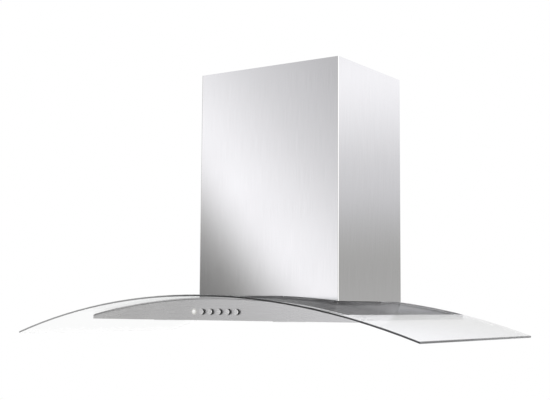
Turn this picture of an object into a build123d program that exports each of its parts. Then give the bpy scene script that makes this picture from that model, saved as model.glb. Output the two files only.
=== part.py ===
from build123d import *
import math
import os

os.makedirs("parts", exist_ok=True)

# Curved glass range hood, 900 mm wide, fixed to a wall.
# X runs to the right as the hood is seen from the front, the front is -Y, the wall is the plane Y = 0
# and Z = 0 is the flat underside of the steel canopy. All sizes are in millimetres.

# Glass: a cylinder segment across the width, straight from front to wall
glass_width = 900
glass_depth = 490
glass_thickness = 4
arc_radius = 1400        # mid-plane of the glass
arc_crown = 45.5         # mid-plane above the canopy underside, on the centre line
glass_arris = 0.6

# Steel canopy under the glass
sheet = 1
canopy_width = 616
canopy_depth = 424
gasket_thickness = 3
gasket_inset = 2         # inside the canopy's edge
layer_gap = 0.1          # air left between two curved layers
clamp_hole_glass = 5     # radii of the clamp bolts' holes, layer by layer
clamp_hole_gasket = 4
clamp_hole_steel = 3.5

# Air cut-out through the glass, the gasket and the top plate
cut_out_width = 260
cut_out_front = 235
cut_out_back = 20
cut_out_corner = 12
cut_below = 40           # cutting sketches start this far below the underside
cut_length = 120         # and cut this far up, past every curved layer

# Chimney: an outer lower section and an upper section that slides up out of it
chimney_width = 335
chimney_depth = 259
chimney_top = 513
chimney_bend = 2
chimney_return = 12      # folded edge along the wall
slide_gap = 1            # between the two sections
upper_bottom = 150
upper_top = 510
return_top = 470

# Motor chassis: a steel box over the air cut-out
chassis_sheet = 1.5
chassis_width = 250
chassis_front = 232
chassis_back = 3
chassis_top = 300
flange_half_width = 152
flange_front = 250
flange_back = 8

# Double-inlet blower, its axis along X
blower_y = -92
blower_z = 165
casing_wall = 1.5
casing_half_width = 54
scroll_start_radius = 76
scroll_step = 7.5
outlet_inner = 26        # inner wall of the outlet duct, forward of the blower axis
tongue_height = 76       # foot of that wall, above the blower axis
inlet_radius = 50
impeller_radius = 65
blade_inner_radius = 52
impeller_half_width = 50
blade_count = 36

# Motor, in the right half of the impeller
motor_radius = 36
motor_start = 14
motor_end = 72
shaft_radius = 4
running_clearance = 0.05

# Outlet collar for a 150 mm duct, with two non-return flaps on one pin
collar_y = -152
collar_outer_radius = 75
collar_inner_radius = 73
collar_flange_radius = 86
collar_height = 50
flap_pin_z = chassis_top + 11
flap_radius = 70.5

# Grease filters, hinged along their rear edge
filter_width = 254
filter_front = 350
filter_back = 35
filter_height = 10
filter_centre = 135.5
filter_gap = 1
latch_width = 64
latch_depth = 15
latch_travel = 6

# Push buttons and pilot lamp in the front panel
button_pitch = 20
button_height = 16
button_radius = 5
button_proud = 5
lamp_spacing = 140
lamp_y = -387


def arc_height(radius, x):
    """Height of a layer of the arc at a distance x from the centre line."""
    return math.sqrt(radius**2 - x**2) + arc_crown - arc_radius


glass_top_radius = arc_radius + glass_thickness / 2
glass_under_radius = arc_radius - glass_thickness / 2
gasket_under_radius = glass_under_radius - gasket_thickness
plate_under_radius = gasket_under_radius - sheet
canopy_half = canopy_width / 2


def arched_strip(plane, lower_radius, upper_radius, half_width):
    """Section of a curved layer across the width, with upright ends."""
    with BuildSketch(plane) as section:
        with BuildLine():
            upper_end = arc_height(upper_radius, half_width)
            lower_end = arc_height(lower_radius, half_width)
            upper_crown = (0, arc_height(upper_radius, 0))
            lower_crown = (0, arc_height(lower_radius, 0))
            ThreePointArc((-half_width, upper_end), upper_crown, (half_width, upper_end))
            Line((half_width, upper_end), (half_width, lower_end))
            ThreePointArc((half_width, lower_end), lower_crown, (-half_width, lower_end))
            Line((-half_width, lower_end), (-half_width, upper_end))
        make_face()
    return section.sketch


def arched_wall(plane, upper_radius, half_width):
    """Upright wall with a straight foot at Z = 0 and an arched top."""
    with BuildSketch(plane) as section:
        with BuildLine():
            top_end = arc_height(upper_radius, half_width)
            crown = (0, arc_height(upper_radius, 0))
            ThreePointArc((-half_width, top_end), crown, (half_width, top_end))
            Polyline((half_width, top_end), (half_width, 0), (-half_width, 0), (-half_width, top_end))
        make_face()
    return section.sketch


def air_cut_out():
    """Outline of the air cut-out, well below the canopy."""
    with BuildSketch(Plane.XY.offset(-cut_below)) as outline:
        with Locations((0, -(cut_out_front + cut_out_back) / 2)):
            RectangleRounded(cut_out_width, cut_out_front - cut_out_back, cut_out_corner)
    return outline.sketch


clamp_bolt_places = [(x, y) for x in (-138, 138) for y in (-45, -215)]


def clamp_bolt_holes(radius):
    """Circles at the four clamp bolts, well below the canopy."""
    with BuildSketch(Plane.XY.offset(-cut_below)) as outline:
        with Locations(*clamp_bolt_places):
            Circle(radius)
    return outline.sketch


def chimney_section(half_width, depth, back, height_from, bend):
    """U-shaped section of a folded chimney sheet, open towards the wall."""
    with BuildSketch(Plane.XY.offset(height_from)) as section:
        with Locations((0, -back)):
            Rectangle(2 * half_width, depth - back, align=(Align.CENTER, Align.MAX))
        fillet(section.vertices().group_by(Axis.Y)[0], radius=bend)
        with Locations((0, -back)):
            Rectangle(
                2 * (half_width - sheet),
                depth - back - sheet,
                align=(Align.CENTER, Align.MAX),
                mode=Mode.SUBTRACT,
            )
    return section.sketch


def pan_head_screw(plane, length, shank_radius=1.95, head_radius=3.8, head_height=2.2):
    """Cross-recessed pan head screw: the plane's normal points out of the head's bearing face."""
    with BuildPart() as screw:
        with BuildSketch(plane):
            Circle(head_radius)
        extrude(amount=head_height)
        fillet(screw.edges().filter_by(GeomType.CIRCLE).sort_by(Axis(plane.origin, plane.z_dir))[-1:], 0.8)
        with BuildSketch(plane):
            Circle(shank_radius)
        extrude(amount=-length)
        with BuildSketch(plane.offset(head_height)):
            Rectangle(head_radius, 0.8)
            Rectangle(0.8, head_radius)
        extrude(amount=-head_height / 2, mode=Mode.SUBTRACT)
    return screw.part


def facing_front(x, y, z):
    """Plane whose normal points to the front."""
    return Plane((x, y, z), x_dir=(1, 0, 0), z_dir=(0, -1, 0))


def facing_side(x, y, z, side):
    """Plane whose normal points along X, to the given side."""
    return Plane((x, y, z), x_dir=(0, 1, 0), z_dir=(side, 0, 0))


def save(builder, name):
    """Label a finished piece and write it out."""
    builder.part.label = name
    export_step(builder.part, f"parts/{name}.step")


# ---------------------------------------------------------------- glass, gasket and canopy

# Tempered glass canopy with the air cut-out and four clamp bolt holes
with BuildPart() as glass_canopy:
    extrude(
        arched_strip(Plane.XZ, glass_under_radius, glass_top_radius, glass_width / 2),
        amount=glass_depth,
    )
    rim = glass_canopy.edges().filter_by(GeomType.CIRCLE)
    sides = glass_canopy.edges().filter_by(Axis.Y)
    chamfer(rim + sides, glass_arris)
    extrude(air_cut_out(), amount=cut_length, mode=Mode.SUBTRACT)
    extrude(clamp_bolt_holes(clamp_hole_glass), amount=cut_length, mode=Mode.SUBTRACT)
save(glass_canopy, "glass_canopy")

# Rubber sheet between the glass and the steel
with BuildPart() as glass_gasket:
    extrude(
        arched_strip(
            Plane.XZ.offset(gasket_inset),
            gasket_under_radius + layer_gap,
            glass_under_radius - layer_gap,
            canopy_half - gasket_inset,
        ),
        amount=canopy_depth - 2 * gasket_inset,
    )
    extrude(air_cut_out(), amount=cut_length, mode=Mode.SUBTRACT)
    extrude(clamp_bolt_holes(clamp_hole_gasket), amount=cut_length, mode=Mode.SUBTRACT)
save(glass_gasket, "glass_gasket")

# Curved steel top of the canopy
with BuildPart() as canopy_top_plate:
    extrude(
        arched_strip(Plane.XZ, plate_under_radius, gasket_under_radius, canopy_half),
        amount=canopy_depth - sheet,
    )
    extrude(air_cut_out(), amount=cut_length, mode=Mode.SUBTRACT)
    extrude(clamp_bolt_holes(clamp_hole_steel), amount=cut_length, mode=Mode.SUBTRACT)
save(canopy_top_plate, "canopy_top_plate")

# Tray: underside with two filter windows and two lamp holes, back wall, low sides and rims
window_width = filter_width + 2 * filter_gap
window_front = filter_front + filter_gap
window_back = filter_back - filter_gap
window_depth = window_front - window_back
window_centre_y = -(window_front + window_back) / 2
wall_top_radius = plate_under_radius - layer_gap
side_height = arc_height(wall_top_radius, canopy_half) - layer_gap
rim_height = 8
latch_rim_height = 4.2
lens_hole_radius = 26
safety_hole_radius = 3
safety_hole_x = 200
safety_hole_z = 12

with BuildPart() as canopy_tray:
    with BuildSketch():
        Rectangle(canopy_width, canopy_depth - sheet, align=(Align.CENTER, Align.MAX))
        with Locations((-filter_centre, window_centre_y), (filter_centre, window_centre_y)):
            Rectangle(window_width, window_depth, mode=Mode.SUBTRACT)
        with Locations((-lamp_spacing, lamp_y), (lamp_spacing, lamp_y)):
            Circle(lens_hole_radius, mode=Mode.SUBTRACT)
    extrude(amount=sheet)
    extrude(arched_wall(Plane.XZ, wall_top_radius, canopy_half), amount=sheet)
    with BuildSketch():
        for side in (-1, 1):
            with Locations((side * (canopy_half - sheet / 2), -(canopy_depth - sheet) / 2)):
                Rectangle(sheet, canopy_depth - sheet)
        with Locations((0, -(canopy_depth - 1.5 * sheet))):
            Rectangle(canopy_width, sheet)
    extrude(amount=side_height)
    with BuildSketch(Plane.XY.offset(sheet)):
        for side in (-1, 1):
            for edge in (-1, 1):
                rim_x = side * filter_centre + edge * (window_width + sheet) / 2
                with Locations((rim_x, window_centre_y)):
                    Rectangle(sheet, window_depth)
    extrude(amount=rim_height)
    with BuildSketch(Plane.XY.offset(sheet)):
        with Locations(
            (-filter_centre, -window_front - sheet / 2),
            (filter_centre, -window_front - sheet / 2),
        ):
            Rectangle(window_width + 2 * sheet, sheet)
    extrude(amount=latch_rim_height)
    with BuildSketch(Plane.XZ):
        with Locations((-safety_hole_x, safety_hole_z), (safety_hole_x, safety_hole_z)):
            Circle(safety_hole_radius)
    extrude(amount=sheet, mode=Mode.SUBTRACT)
save(canopy_tray, "canopy_tray")

# Front panel: straight foot, arched top, five button holes and the pilot lamp's hole
button_xs = [button_pitch * (n - 1.5) for n in range(5)]
pilot_x = button_xs[0] - button_pitch
button_hole_radius = button_radius + 0.4
pilot_radius = 3.8

with BuildPart() as front_panel:
    extrude(
        arched_wall(Plane.XZ.offset(canopy_depth), gasket_under_radius, canopy_half),
        amount=-sheet,
    )
    with BuildSketch(Plane.XZ.offset(canopy_depth)):
        with Locations(*[(x, button_height) for x in button_xs]):
            Circle(button_hole_radius)
        with Locations((pilot_x, button_height)):
            Circle(pilot_radius + 0.2)
    extrude(amount=-sheet, mode=Mode.SUBTRACT)
save(front_panel, "front_panel")

# Clamp bolts through chassis flange, glass, gasket and top plate, with nuts below
bolt_radius = 3
bolt_head_z = 43.6
bolt_foot_z = 25
nut_top_z = 31.6
nut_height = 5
hexagon_radius = 10 / math.sqrt(3)

with BuildPart() as glass_clamp_bolts:
    with BuildSketch(Plane.XY.offset(bolt_foot_z)):
        with Locations(*clamp_bolt_places):
            Circle(bolt_radius)
    extrude(amount=bolt_head_z - bolt_foot_z)
    with BuildSketch(Plane.XY.offset(bolt_head_z)):
        with Locations(*clamp_bolt_places):
            RegularPolygon(hexagon_radius, 6)
    extrude(amount=4)
save(glass_clamp_bolts, "glass_clamp_bolts")

with BuildPart() as glass_clamp_nuts:
    with BuildSketch(Plane.XY.offset(nut_top_z - nut_height)):
        with Locations(*clamp_bolt_places):
            RegularPolygon(hexagon_radius, 6)
            Circle(bolt_radius, mode=Mode.SUBTRACT)
    extrude(amount=nut_height)
save(glass_clamp_nuts, "glass_clamp_nuts")

# ---------------------------------------------------------------- chimney

chimney_half = chimney_width / 2
lower_return_bottom = 60
foot_clearance = 0.4     # between the chimney's arched foot and the glass
cut_margin = 10          # how far a cutting solid runs past the sheet it cuts
ear_bottom = 70
ear_top = 140
screw_hole_radius = 2
return_screw_x = chimney_half - chimney_return / 2
return_screw_zs = (85, 125)
return_screw_places = [(side * return_screw_x, z) for side in (-1, 1) for z in return_screw_zs]

# Lower section: its foot follows the arc of the glass
with BuildPart() as chimney_lower:
    extrude(
        chimney_section(chimney_half, chimney_depth, 0, 0, chimney_bend),
        amount=chimney_top,
    )
    extrude(
        arched_wall(Plane.XZ, glass_top_radius + foot_clearance, chimney_half + cut_margin),
        amount=chimney_depth + cut_margin,
        mode=Mode.SUBTRACT,
    )
    with BuildSketch(Plane.XY.offset(lower_return_bottom)):
        for side in (-1, 1):
            with Locations((side * (chimney_half - chimney_return / 2), -sheet / 2)):
                Rectangle(chimney_return, sheet)
    extrude(amount=return_top - lower_return_bottom)
    with BuildSketch(Plane.XZ):
        with Locations(*return_screw_places):
            Circle(screw_hole_radius)
    extrude(amount=sheet, mode=Mode.SUBTRACT)
save(chimney_lower, "chimney_lower")

# Upper section: nested inside the lower one, notched at the top for the wall bracket
upper_half = chimney_half - sheet - slide_gap
upper_depth = chimney_depth - sheet - slide_gap
upper_back = 2.3
bracket_screw_y = -18
bracket_z = 484
bracket_height = 24
bracket_screw_z = bracket_z + bracket_height / 2
bracket_screw_places = [(side * upper_half, bracket_screw_y, bracket_screw_z, side) for side in (-1, 1)]

with BuildPart() as chimney_upper:
    extrude(
        chimney_section(upper_half, upper_depth, upper_back, upper_bottom, chimney_bend - 0.5),
        amount=upper_top - upper_bottom,
    )
    with BuildSketch(Plane.XY.offset(upper_bottom)):
        for side in (-1, 1):
            with Locations((side * (upper_half - chimney_return / 2), -upper_back - sheet / 2)):
                Rectangle(chimney_return, sheet)
    extrude(amount=return_top - upper_bottom)
    for place in bracket_screw_places:
        with BuildSketch(facing_side(*place)):
            Circle(screw_hole_radius)
        extrude(amount=-sheet, mode=Mode.SUBTRACT)
save(chimney_upper, "chimney_upper")

# Wall bracket that carries the upper section: a strip on the wall with two ears turned forward
bracket_sheet = 1.5
bracket_half = upper_half - sheet
ear_depth = 28
bracket_hole_x = 110
bracket_hole_radius = 3.25
bracket_thread_radius = 1.95
low_head_radius = 3.5
low_head_height = 0.6
low_head_length = 8
low_shank_radius = 1.9

with BuildPart() as chimney_bracket:
    with BuildSketch(Plane.XY.offset(bracket_z)):
        Rectangle(2 * bracket_half, bracket_sheet, align=(Align.CENTER, Align.MAX))
        for side in (-1, 1):
            with Locations((side * (bracket_half - bracket_sheet / 2), 0)):
                Rectangle(bracket_sheet, ear_depth, align=(Align.CENTER, Align.MAX))
    extrude(amount=bracket_height)
    with BuildSketch(Plane.XZ):
        with Locations((-bracket_hole_x, bracket_screw_z), (bracket_hole_x, bracket_screw_z)):
            Circle(bracket_hole_radius)
    extrude(amount=bracket_sheet, mode=Mode.SUBTRACT)
    for side in (-1, 1):
        with BuildSketch(facing_side(side * bracket_half, bracket_screw_y, bracket_screw_z, side)):
            Circle(bracket_thread_radius)
        extrude(amount=-bracket_sheet, mode=Mode.SUBTRACT)
save(chimney_bracket, "chimney_bracket")

# Low-head screws through the upper section into the bracket's ears
with BuildPart() as chimney_bracket_screws:
    for place in bracket_screw_places:
        with BuildSketch(facing_side(*place)):
            Circle(low_head_radius)
        extrude(amount=low_head_height)
        with BuildSketch(facing_side(*place)):
            Circle(low_shank_radius)
        extrude(amount=-low_head_length)
save(chimney_bracket_screws, "chimney_bracket_screws")

# Screws that hold the lower section's wall returns to the ears of the chassis
return_screw_length = 2.3

with BuildPart() as chimney_lower_screws:
    for screw_x, screw_z in return_screw_places:
        seat = facing_front(screw_x, -sheet - chassis_sheet, screw_z)
        add(pan_head_screw(seat, return_screw_length))
save(chimney_lower_screws, "chimney_lower_screws")

# ---------------------------------------------------------------- motor chassis and wall rail

chassis_half = chassis_width / 2
flange_radius = glass_top_radius + 0.2
service_width = 210
service_bottom = 70
service_top = 285
service_corner = 8
cover_screw_places = [(x, z) for x in (-112, 112) for z in (63, 292)]
hook_x = 80
hook_width = 30
hook_z = 262
hook_slot_bottom = 248
hook_slot_width = hook_width + 4
hook_slot_height = hook_z + 2.2 - hook_slot_bottom
collar_screw_angles = (45, 135, 225, 315)
collar_screw_radius = 80
mount_tab_x = 93
ear_step = 140           # where the ears step back to the wall returns
ear_end = chimney_half - sheet - 2

collar_screw_places = [
    (
        collar_screw_radius * math.cos(math.radians(angle)),
        collar_y + collar_screw_radius * math.sin(math.radians(angle)),
    )
    for angle in collar_screw_angles
]
mount_screw_places = [(-mount_tab_x, collar_y), (mount_tab_x, collar_y)]
scroll_front = scroll_start_radius + 2.5 * scroll_step
outlet_front = blower_y - scroll_front
outlet_back = blower_y - outlet_inner

with BuildPart() as motor_chassis:
    # four walls and the top
    with BuildSketch():
        with Locations((0, -chassis_back)):
            Rectangle(chassis_width, chassis_front - chassis_back, align=(Align.CENTER, Align.MAX))
    extrude(amount=chassis_top)
    with BuildSketch():
        with Locations((0, -chassis_back - chassis_sheet)):
            Rectangle(
                chassis_width - 2 * chassis_sheet,
                chassis_front - chassis_back - 2 * chassis_sheet,
                align=(Align.CENTER, Align.MAX),
            )
    extrude(amount=chassis_top - chassis_sheet, mode=Mode.SUBTRACT)
    extrude(
        arched_wall(Plane.XZ, flange_radius, chassis_half + cut_margin),
        amount=chassis_front + cut_margin,
        mode=Mode.SUBTRACT,
    )
    # flange that lies on the glass
    extrude(
        arched_strip(
            Plane.XZ.offset(flange_back),
            flange_radius,
            flange_radius + chassis_sheet,
            flange_half_width,
        ),
        amount=flange_front - flange_back,
    )
    with BuildSketch():
        with Locations((0, -flange_back)):
            Rectangle(
                chassis_width - 2 * chassis_sheet,
                chassis_front - chassis_sheet - flange_back,
                align=(Align.CENTER, Align.MAX),
            )
    extrude(amount=service_bottom - cut_margin, mode=Mode.SUBTRACT)
    extrude(clamp_bolt_holes(clamp_hole_steel), amount=cut_length, mode=Mode.SUBTRACT)
    # service opening in the front, hook slots in the back
    with BuildSketch(Plane.XZ.offset(chassis_front)):
        with Locations((0, (service_bottom + service_top) / 2)):
            RectangleRounded(service_width, service_top - service_bottom, service_corner)
        with Locations(*cover_screw_places):
            Circle(screw_hole_radius)
    extrude(amount=-chassis_sheet, mode=Mode.SUBTRACT)
    with BuildSketch(Plane.XZ.offset(chassis_back)):
        with Locations((-hook_x, hook_slot_bottom), (hook_x, hook_slot_bottom)):
            Rectangle(hook_slot_width, hook_slot_height, align=(Align.CENTER, Align.MIN))
    extrude(amount=chassis_sheet, mode=Mode.SUBTRACT)
    # outlet opening and screw holes in the top
    with BuildSketch(Plane.XY.offset(chassis_top)):
        with Locations((0, (outlet_front + outlet_back) / 2)):
            Rectangle(2 * casing_half_width, outlet_back - outlet_front)
        with Locations(*collar_screw_places, *mount_screw_places):
            Circle(screw_hole_radius)
    extrude(amount=-chassis_sheet, mode=Mode.SUBTRACT)
    # stepped ears behind which the lower chimney section is screwed
    for side in (-1, 1):
        with BuildSketch(Plane.XY.offset(ear_bottom)):
            with BuildLine():
                Polyline(
                    (side * (chassis_half - 1), -chassis_back),
                    (side * (ear_step - chassis_sheet), -chassis_back),
                    (side * (ear_step - chassis_sheet), -sheet),
                    (side * ear_end, -sheet),
                    (side * ear_end, -sheet - chassis_sheet),
                    (side * ear_step, -sheet - chassis_sheet),
                    (side * ear_step, -chassis_back - chassis_sheet),
                    (side * (chassis_half - 1), -chassis_back - chassis_sheet),
                    close=True,
                )
            make_face()
        extrude(amount=ear_top - ear_bottom)
    with BuildSketch(Plane.XZ):
        with Locations(*return_screw_places):
            Circle(screw_hole_radius)
    extrude(amount=sheet + chassis_sheet, mode=Mode.SUBTRACT)
save(motor_chassis, "motor_chassis")

# Service cover over the opening in the chassis front
cover_width = 236
cover_height = 241
cover_corner = 6
cover_hole_radius = 2.1

with BuildPart() as chassis_cover:
    with BuildSketch(Plane.XZ.offset(chassis_front)):
        with Locations((0, (cover_screw_places[0][1] + cover_screw_places[1][1]) / 2)):
            RectangleRounded(cover_width, cover_height, cover_corner)
        with Locations(*cover_screw_places):
            Circle(cover_hole_radius, mode=Mode.SUBTRACT)
    extrude(amount=chassis_sheet)
save(chassis_cover, "chassis_cover")

# Wall rail: bolted to the wall, its two hooks carry the chassis
rail_sheet = 2
rail_half = 150
rail_bottom = 230
rail_top = 290
rail_hole_x = 138
rail_hole_zs = (245, 275)
rail_hole_radius = 4
hook_reach = 9.5
hook_tip = 14

with BuildPart() as wall_rail:
    with BuildSketch(Plane.XZ):
        with Locations((0, (rail_bottom + rail_top) / 2)):
            Rectangle(2 * rail_half, rail_top - rail_bottom)
        with Locations(*[(side * rail_hole_x, z) for side in (-1, 1) for z in rail_hole_zs]):
            Circle(rail_hole_radius, mode=Mode.SUBTRACT)
    extrude(amount=rail_sheet)
    for side in (-1, 1):
        with BuildSketch(Plane.YZ.offset(side * hook_x - hook_width / 2)):
            with BuildLine():
                Polyline(
                    (-rail_sheet / 2, hook_z),
                    (-hook_reach, hook_z),
                    (-hook_reach, hook_z + hook_tip),
                    (-hook_reach + rail_sheet, hook_z + hook_tip),
                    (-hook_reach + rail_sheet, hook_z + rail_sheet),
                    (-rail_sheet / 2, hook_z + rail_sheet),
                    close=True,
                )
            make_face()
        extrude(amount=hook_width)
save(wall_rail, "wall_rail")

# ---------------------------------------------------------------- blower

half_step = scroll_step / 2
diagonal = math.sqrt(0.5)


def scroll_face(grow):
    """Scroll outline from three quarter arcs, with the outlet duct rising at the front."""
    centre = -half_step
    first = scroll_start_radius + grow
    second = first + scroll_step
    third = second + scroll_step
    front = centre + scroll_step + third
    duct_top = chassis_top - chassis_sheet - blower_z

    def place(forward, up):
        return (blower_y - forward, blower_z + up)

    with BuildSketch(Plane.YZ) as outline:
        with BuildLine():
            ThreePointArc(
                place(centre, centre + first),
                place(centre - first * diagonal, centre + first * diagonal),
                place(centre - first, centre),
            )
            ThreePointArc(
                place(centre - first, centre),
                place(centre + scroll_step - second * diagonal, centre - second * diagonal),
                place(centre + scroll_step, centre - second),
            )
            ThreePointArc(
                place(centre + scroll_step, centre - second),
                place(
                    centre + scroll_step + third * diagonal,
                    centre + scroll_step - third * diagonal,
                ),
                place(front, centre + scroll_step),
            )
            Polyline(
                place(front, centre + scroll_step),
                place(front, duct_top),
                place(outlet_inner - grow, duct_top),
                place(outlet_inner - grow, tongue_height + grow),
                place(centre, centre + first),
            )
        make_face()
    return outline.sketch


# Screw ears around the scroll, as (forward, up) from the blower axis
ear_radius = 6.5
ear_thickness = 2
ear_stand_off = casing_wall + 5
inlet_lip = 4            # length of the ring round each inlet
casing_hole_radius = 2.1


def arc_ear(centre_forward, centre_up, radius, forward_sign, up_sign):
    """Ear outside a quarter arc of the scroll, on the arc's diagonal."""
    reach = (radius + ear_stand_off) * diagonal
    return (centre_forward + forward_sign * reach, centre_up + up_sign * reach)


casing_ears = [
    arc_ear(-half_step, -half_step, scroll_start_radius, -1, 1),
    arc_ear(half_step, -half_step, scroll_start_radius + scroll_step, -1, -1),
    arc_ear(half_step, half_step, scroll_start_radius + 2 * scroll_step, 1, -1),
    (outlet_inner - ear_stand_off, 112),
    (scroll_front + ear_stand_off, 60),
]
ear_places = [(blower_y - forward, blower_z + up) for forward, up in casing_ears]
casing_face = casing_half_width + casing_wall
tab_width = 26
tab_end = mount_tab_x + 7

# Three feet of the motor's spider on the right casing's face
foot_radius = 57
foot_angles = (90, 210, 330)
foot_places = [
    (
        blower_y + foot_radius * math.cos(math.radians(angle)),
        blower_z + foot_radius * math.sin(math.radians(angle)),
    )
    for angle in foot_angles
]

for side, side_name in ((-1, "left"), (1, "right")):
    with BuildPart() as casing:
        extrude(scroll_face(casing_wall), amount=side * casing_face)
        with BuildSketch(Plane.YZ):
            with Locations(*ear_places):
                Circle(ear_radius)
        extrude(amount=side * ear_thickness)
        with BuildSketch(Plane.YZ.offset(side * casing_face)):
            with Locations((blower_y, blower_z)):
                Circle(inlet_radius + casing_wall)
        extrude(amount=side * inlet_lip)
        with BuildSketch(Plane.XY.offset(chassis_top - chassis_sheet)):
            with Locations((side * (casing_half_width + tab_end) / 2, collar_y)):
                Rectangle(tab_end - casing_half_width, tab_width)
            with Locations((side * mount_tab_x, collar_y)):
                Circle(screw_hole_radius, mode=Mode.SUBTRACT)
        extrude(amount=-casing_wall)
        extrude(scroll_face(0), amount=side * casing_half_width, mode=Mode.SUBTRACT)
        with BuildSketch(Plane.YZ):
            with Locations((blower_y, blower_z)):
                Circle(inlet_radius)
            with Locations(*ear_places):
                Circle(casing_hole_radius)
        extrude(amount=side * 2 * casing_half_width, mode=Mode.SUBTRACT)
        if side > 0:
            with BuildSketch(Plane.YZ.offset(casing_face)):
                with Locations(*foot_places):
                    Circle(screw_hole_radius)
            extrude(amount=-casing_wall, mode=Mode.SUBTRACT)
    save(casing, f"blower_casing_{side_name}")

# Screws and nuts through the ears of both casing halves
small_screw_length = 8
small_nut_radius = 4
small_nut_height = 3

with BuildPart() as blower_casing_screws:
    for ear_y, ear_z in ear_places:
        seat = facing_side(ear_thickness, ear_y, ear_z, 1)
        add(pan_head_screw(seat, small_screw_length))
        with BuildSketch(Plane.YZ.offset(-ear_thickness - small_nut_height)):
            with Locations((ear_y, ear_z)):
                RegularPolygon(small_nut_radius, 6)
        extrude(amount=small_nut_height)
save(blower_casing_screws, "blower_casing_screws")

# Impeller: forward-curved blades on a centre disc, with a ring at each end
hub_radius = 10
hub_length = 16
disc_thickness = 2
blade_thickness = 0.8
blade_sweep = 6.4        # how far the tip leads the root

with BuildSketch() as blade:
    with BuildLine():
        root = blade_inner_radius
        tip = impeller_radius - 0.4
        middle = (root + tip) / 2
        ThreePointArc((root, 0), (middle, blade_sweep / 4), (tip, blade_sweep))
        Line((tip, blade_sweep), (tip - 0.4, blade_sweep + blade_thickness))
        ThreePointArc(
            (tip - 0.4, blade_sweep + blade_thickness),
            (middle - 0.3, blade_sweep / 4 + blade_thickness),
            (root, blade_thickness),
        )
        Line((root, blade_thickness), (root, 0))
    make_face()

with BuildPart() as impeller:
    with BuildSketch(Plane.YZ.offset(-impeller_half_width)):
        with Locations((blower_y, blower_z)):
            with PolarLocations(0, blade_count):
                add(blade.sketch)
    extrude(amount=2 * impeller_half_width)
    for ring_x in (-impeller_half_width, impeller_half_width - disc_thickness):
        with BuildSketch(Plane.YZ.offset(ring_x)):
            with Locations((blower_y, blower_z)):
                Circle(impeller_radius)
                Circle(blade_inner_radius - 0.5, mode=Mode.SUBTRACT)
        extrude(amount=disc_thickness)
    with BuildSketch(Plane.YZ.offset(-disc_thickness / 2)):
        with Locations((blower_y, blower_z)):
            Circle(impeller_radius)
    extrude(amount=disc_thickness)
    with BuildSketch(Plane.YZ.offset(-hub_length / 2)):
        with Locations((blower_y, blower_z)):
            Circle(hub_radius)
    extrude(amount=hub_length)
    with BuildSketch(Plane.YZ.offset(-hub_length / 2)):
        with Locations((blower_y, blower_z)):
            Circle(shaft_radius)
    extrude(amount=hub_length, mode=Mode.SUBTRACT)
save(impeller, "impeller")


def blower_disc(radius, start, length, bore=0):
    """Round piece on the blower axis, from start along +X."""
    with BuildPart() as disc:
        with BuildSketch(Plane.YZ.offset(start)):
            with Locations((blower_y, blower_z)):
                Circle(radius)
                if bore:
                    Circle(bore, mode=Mode.SUBTRACT)
        extrude(amount=length)
    return disc.part


# Motor shaft with the impeller nut at its free end
shaft_start = -17
shaft_chamfer = 0.6
impeller_nut_height = 6
impeller_nut_radius = 13 / math.sqrt(3)

with BuildPart() as motor_shaft:
    add(blower_disc(shaft_radius, shaft_start, motor_end - 1 - shaft_start))
    chamfer(motor_shaft.edges().filter_by(GeomType.CIRCLE), shaft_chamfer)
save(motor_shaft, "motor_shaft")

with BuildPart() as impeller_nut:
    with BuildSketch(Plane.YZ.offset(-hub_length / 2 - impeller_nut_height)):
        with Locations((blower_y, blower_z)):
            RegularPolygon(impeller_nut_radius, 6)
            Circle(shaft_radius, mode=Mode.SUBTRACT)
    extrude(amount=impeller_nut_height)
save(impeller_nut, "impeller_nut")

# Motor can, end cap, stator with windings, rotor core and two sintered bushes
bush_radius = 7
bush_length = 8
can_wall = 1.5
stator_inner = 21.3
rotor_radius = 21
core_start = 28
core_length = 28
boss_radius = 10
endcap_thickness = 2
endcap_spigot = 3
winding_length = 5
winding_outer = 32
winding_inner = 24

with BuildPart() as motor_can:
    add(blower_disc(motor_radius, motor_start, motor_end - motor_start, motor_radius - can_wall))
    add(blower_disc(motor_radius, motor_start, can_wall, bush_radius))
    add(blower_disc(boss_radius, motor_start, bush_length, bush_radius))
save(motor_can, "motor_can")

with BuildPart() as motor_endcap:
    add(blower_disc(motor_radius, motor_end, endcap_thickness))
    add(
        blower_disc(
            motor_radius - can_wall,
            motor_end - endcap_spigot,
            endcap_spigot,
            motor_radius - 2 * can_wall,
        )
    )
    add(blower_disc(boss_radius, motor_end - bush_length - 1, bush_length + 1, bush_radius))
save(motor_endcap, "motor_endcap")

with BuildPart() as motor_bearings:
    for bush_start in (motor_start, motor_end - bush_length - 1):
        add(blower_disc(bush_radius, bush_start, bush_length, shaft_radius + running_clearance))
save(motor_bearings, "motor_bearings")

with BuildPart() as motor_stator:
    add(blower_disc(motor_radius - can_wall, core_start, core_length, stator_inner))
save(motor_stator, "motor_stator")

with BuildPart() as stator_windings:
    for winding_start in (core_start - winding_length, core_start + core_length):
        add(blower_disc(winding_outer, winding_start, winding_length, winding_inner))
save(stator_windings, "stator_windings")

with BuildPart() as motor_rotor:
    add(blower_disc(rotor_radius, core_start, core_length, shaft_radius))
save(motor_rotor, "motor_rotor")

# Spider: a ring round the motor, three arms and three feet on rubber grommets
grommet_height = 5
grommet_radius = 5.2
foot_hole_radius = 2.2
spider_sheet = 2
spider_ring = 4          # width of the ring round the motor can
spider_collar = 8        # length of the sleeve that grips the can
arm_length = 26
arm_width = 12
arm_centre_radius = motor_radius + 11
foot_pad_radius = 7
foot_screw_length = 9.5
spider_x = casing_face + grommet_height

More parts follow.
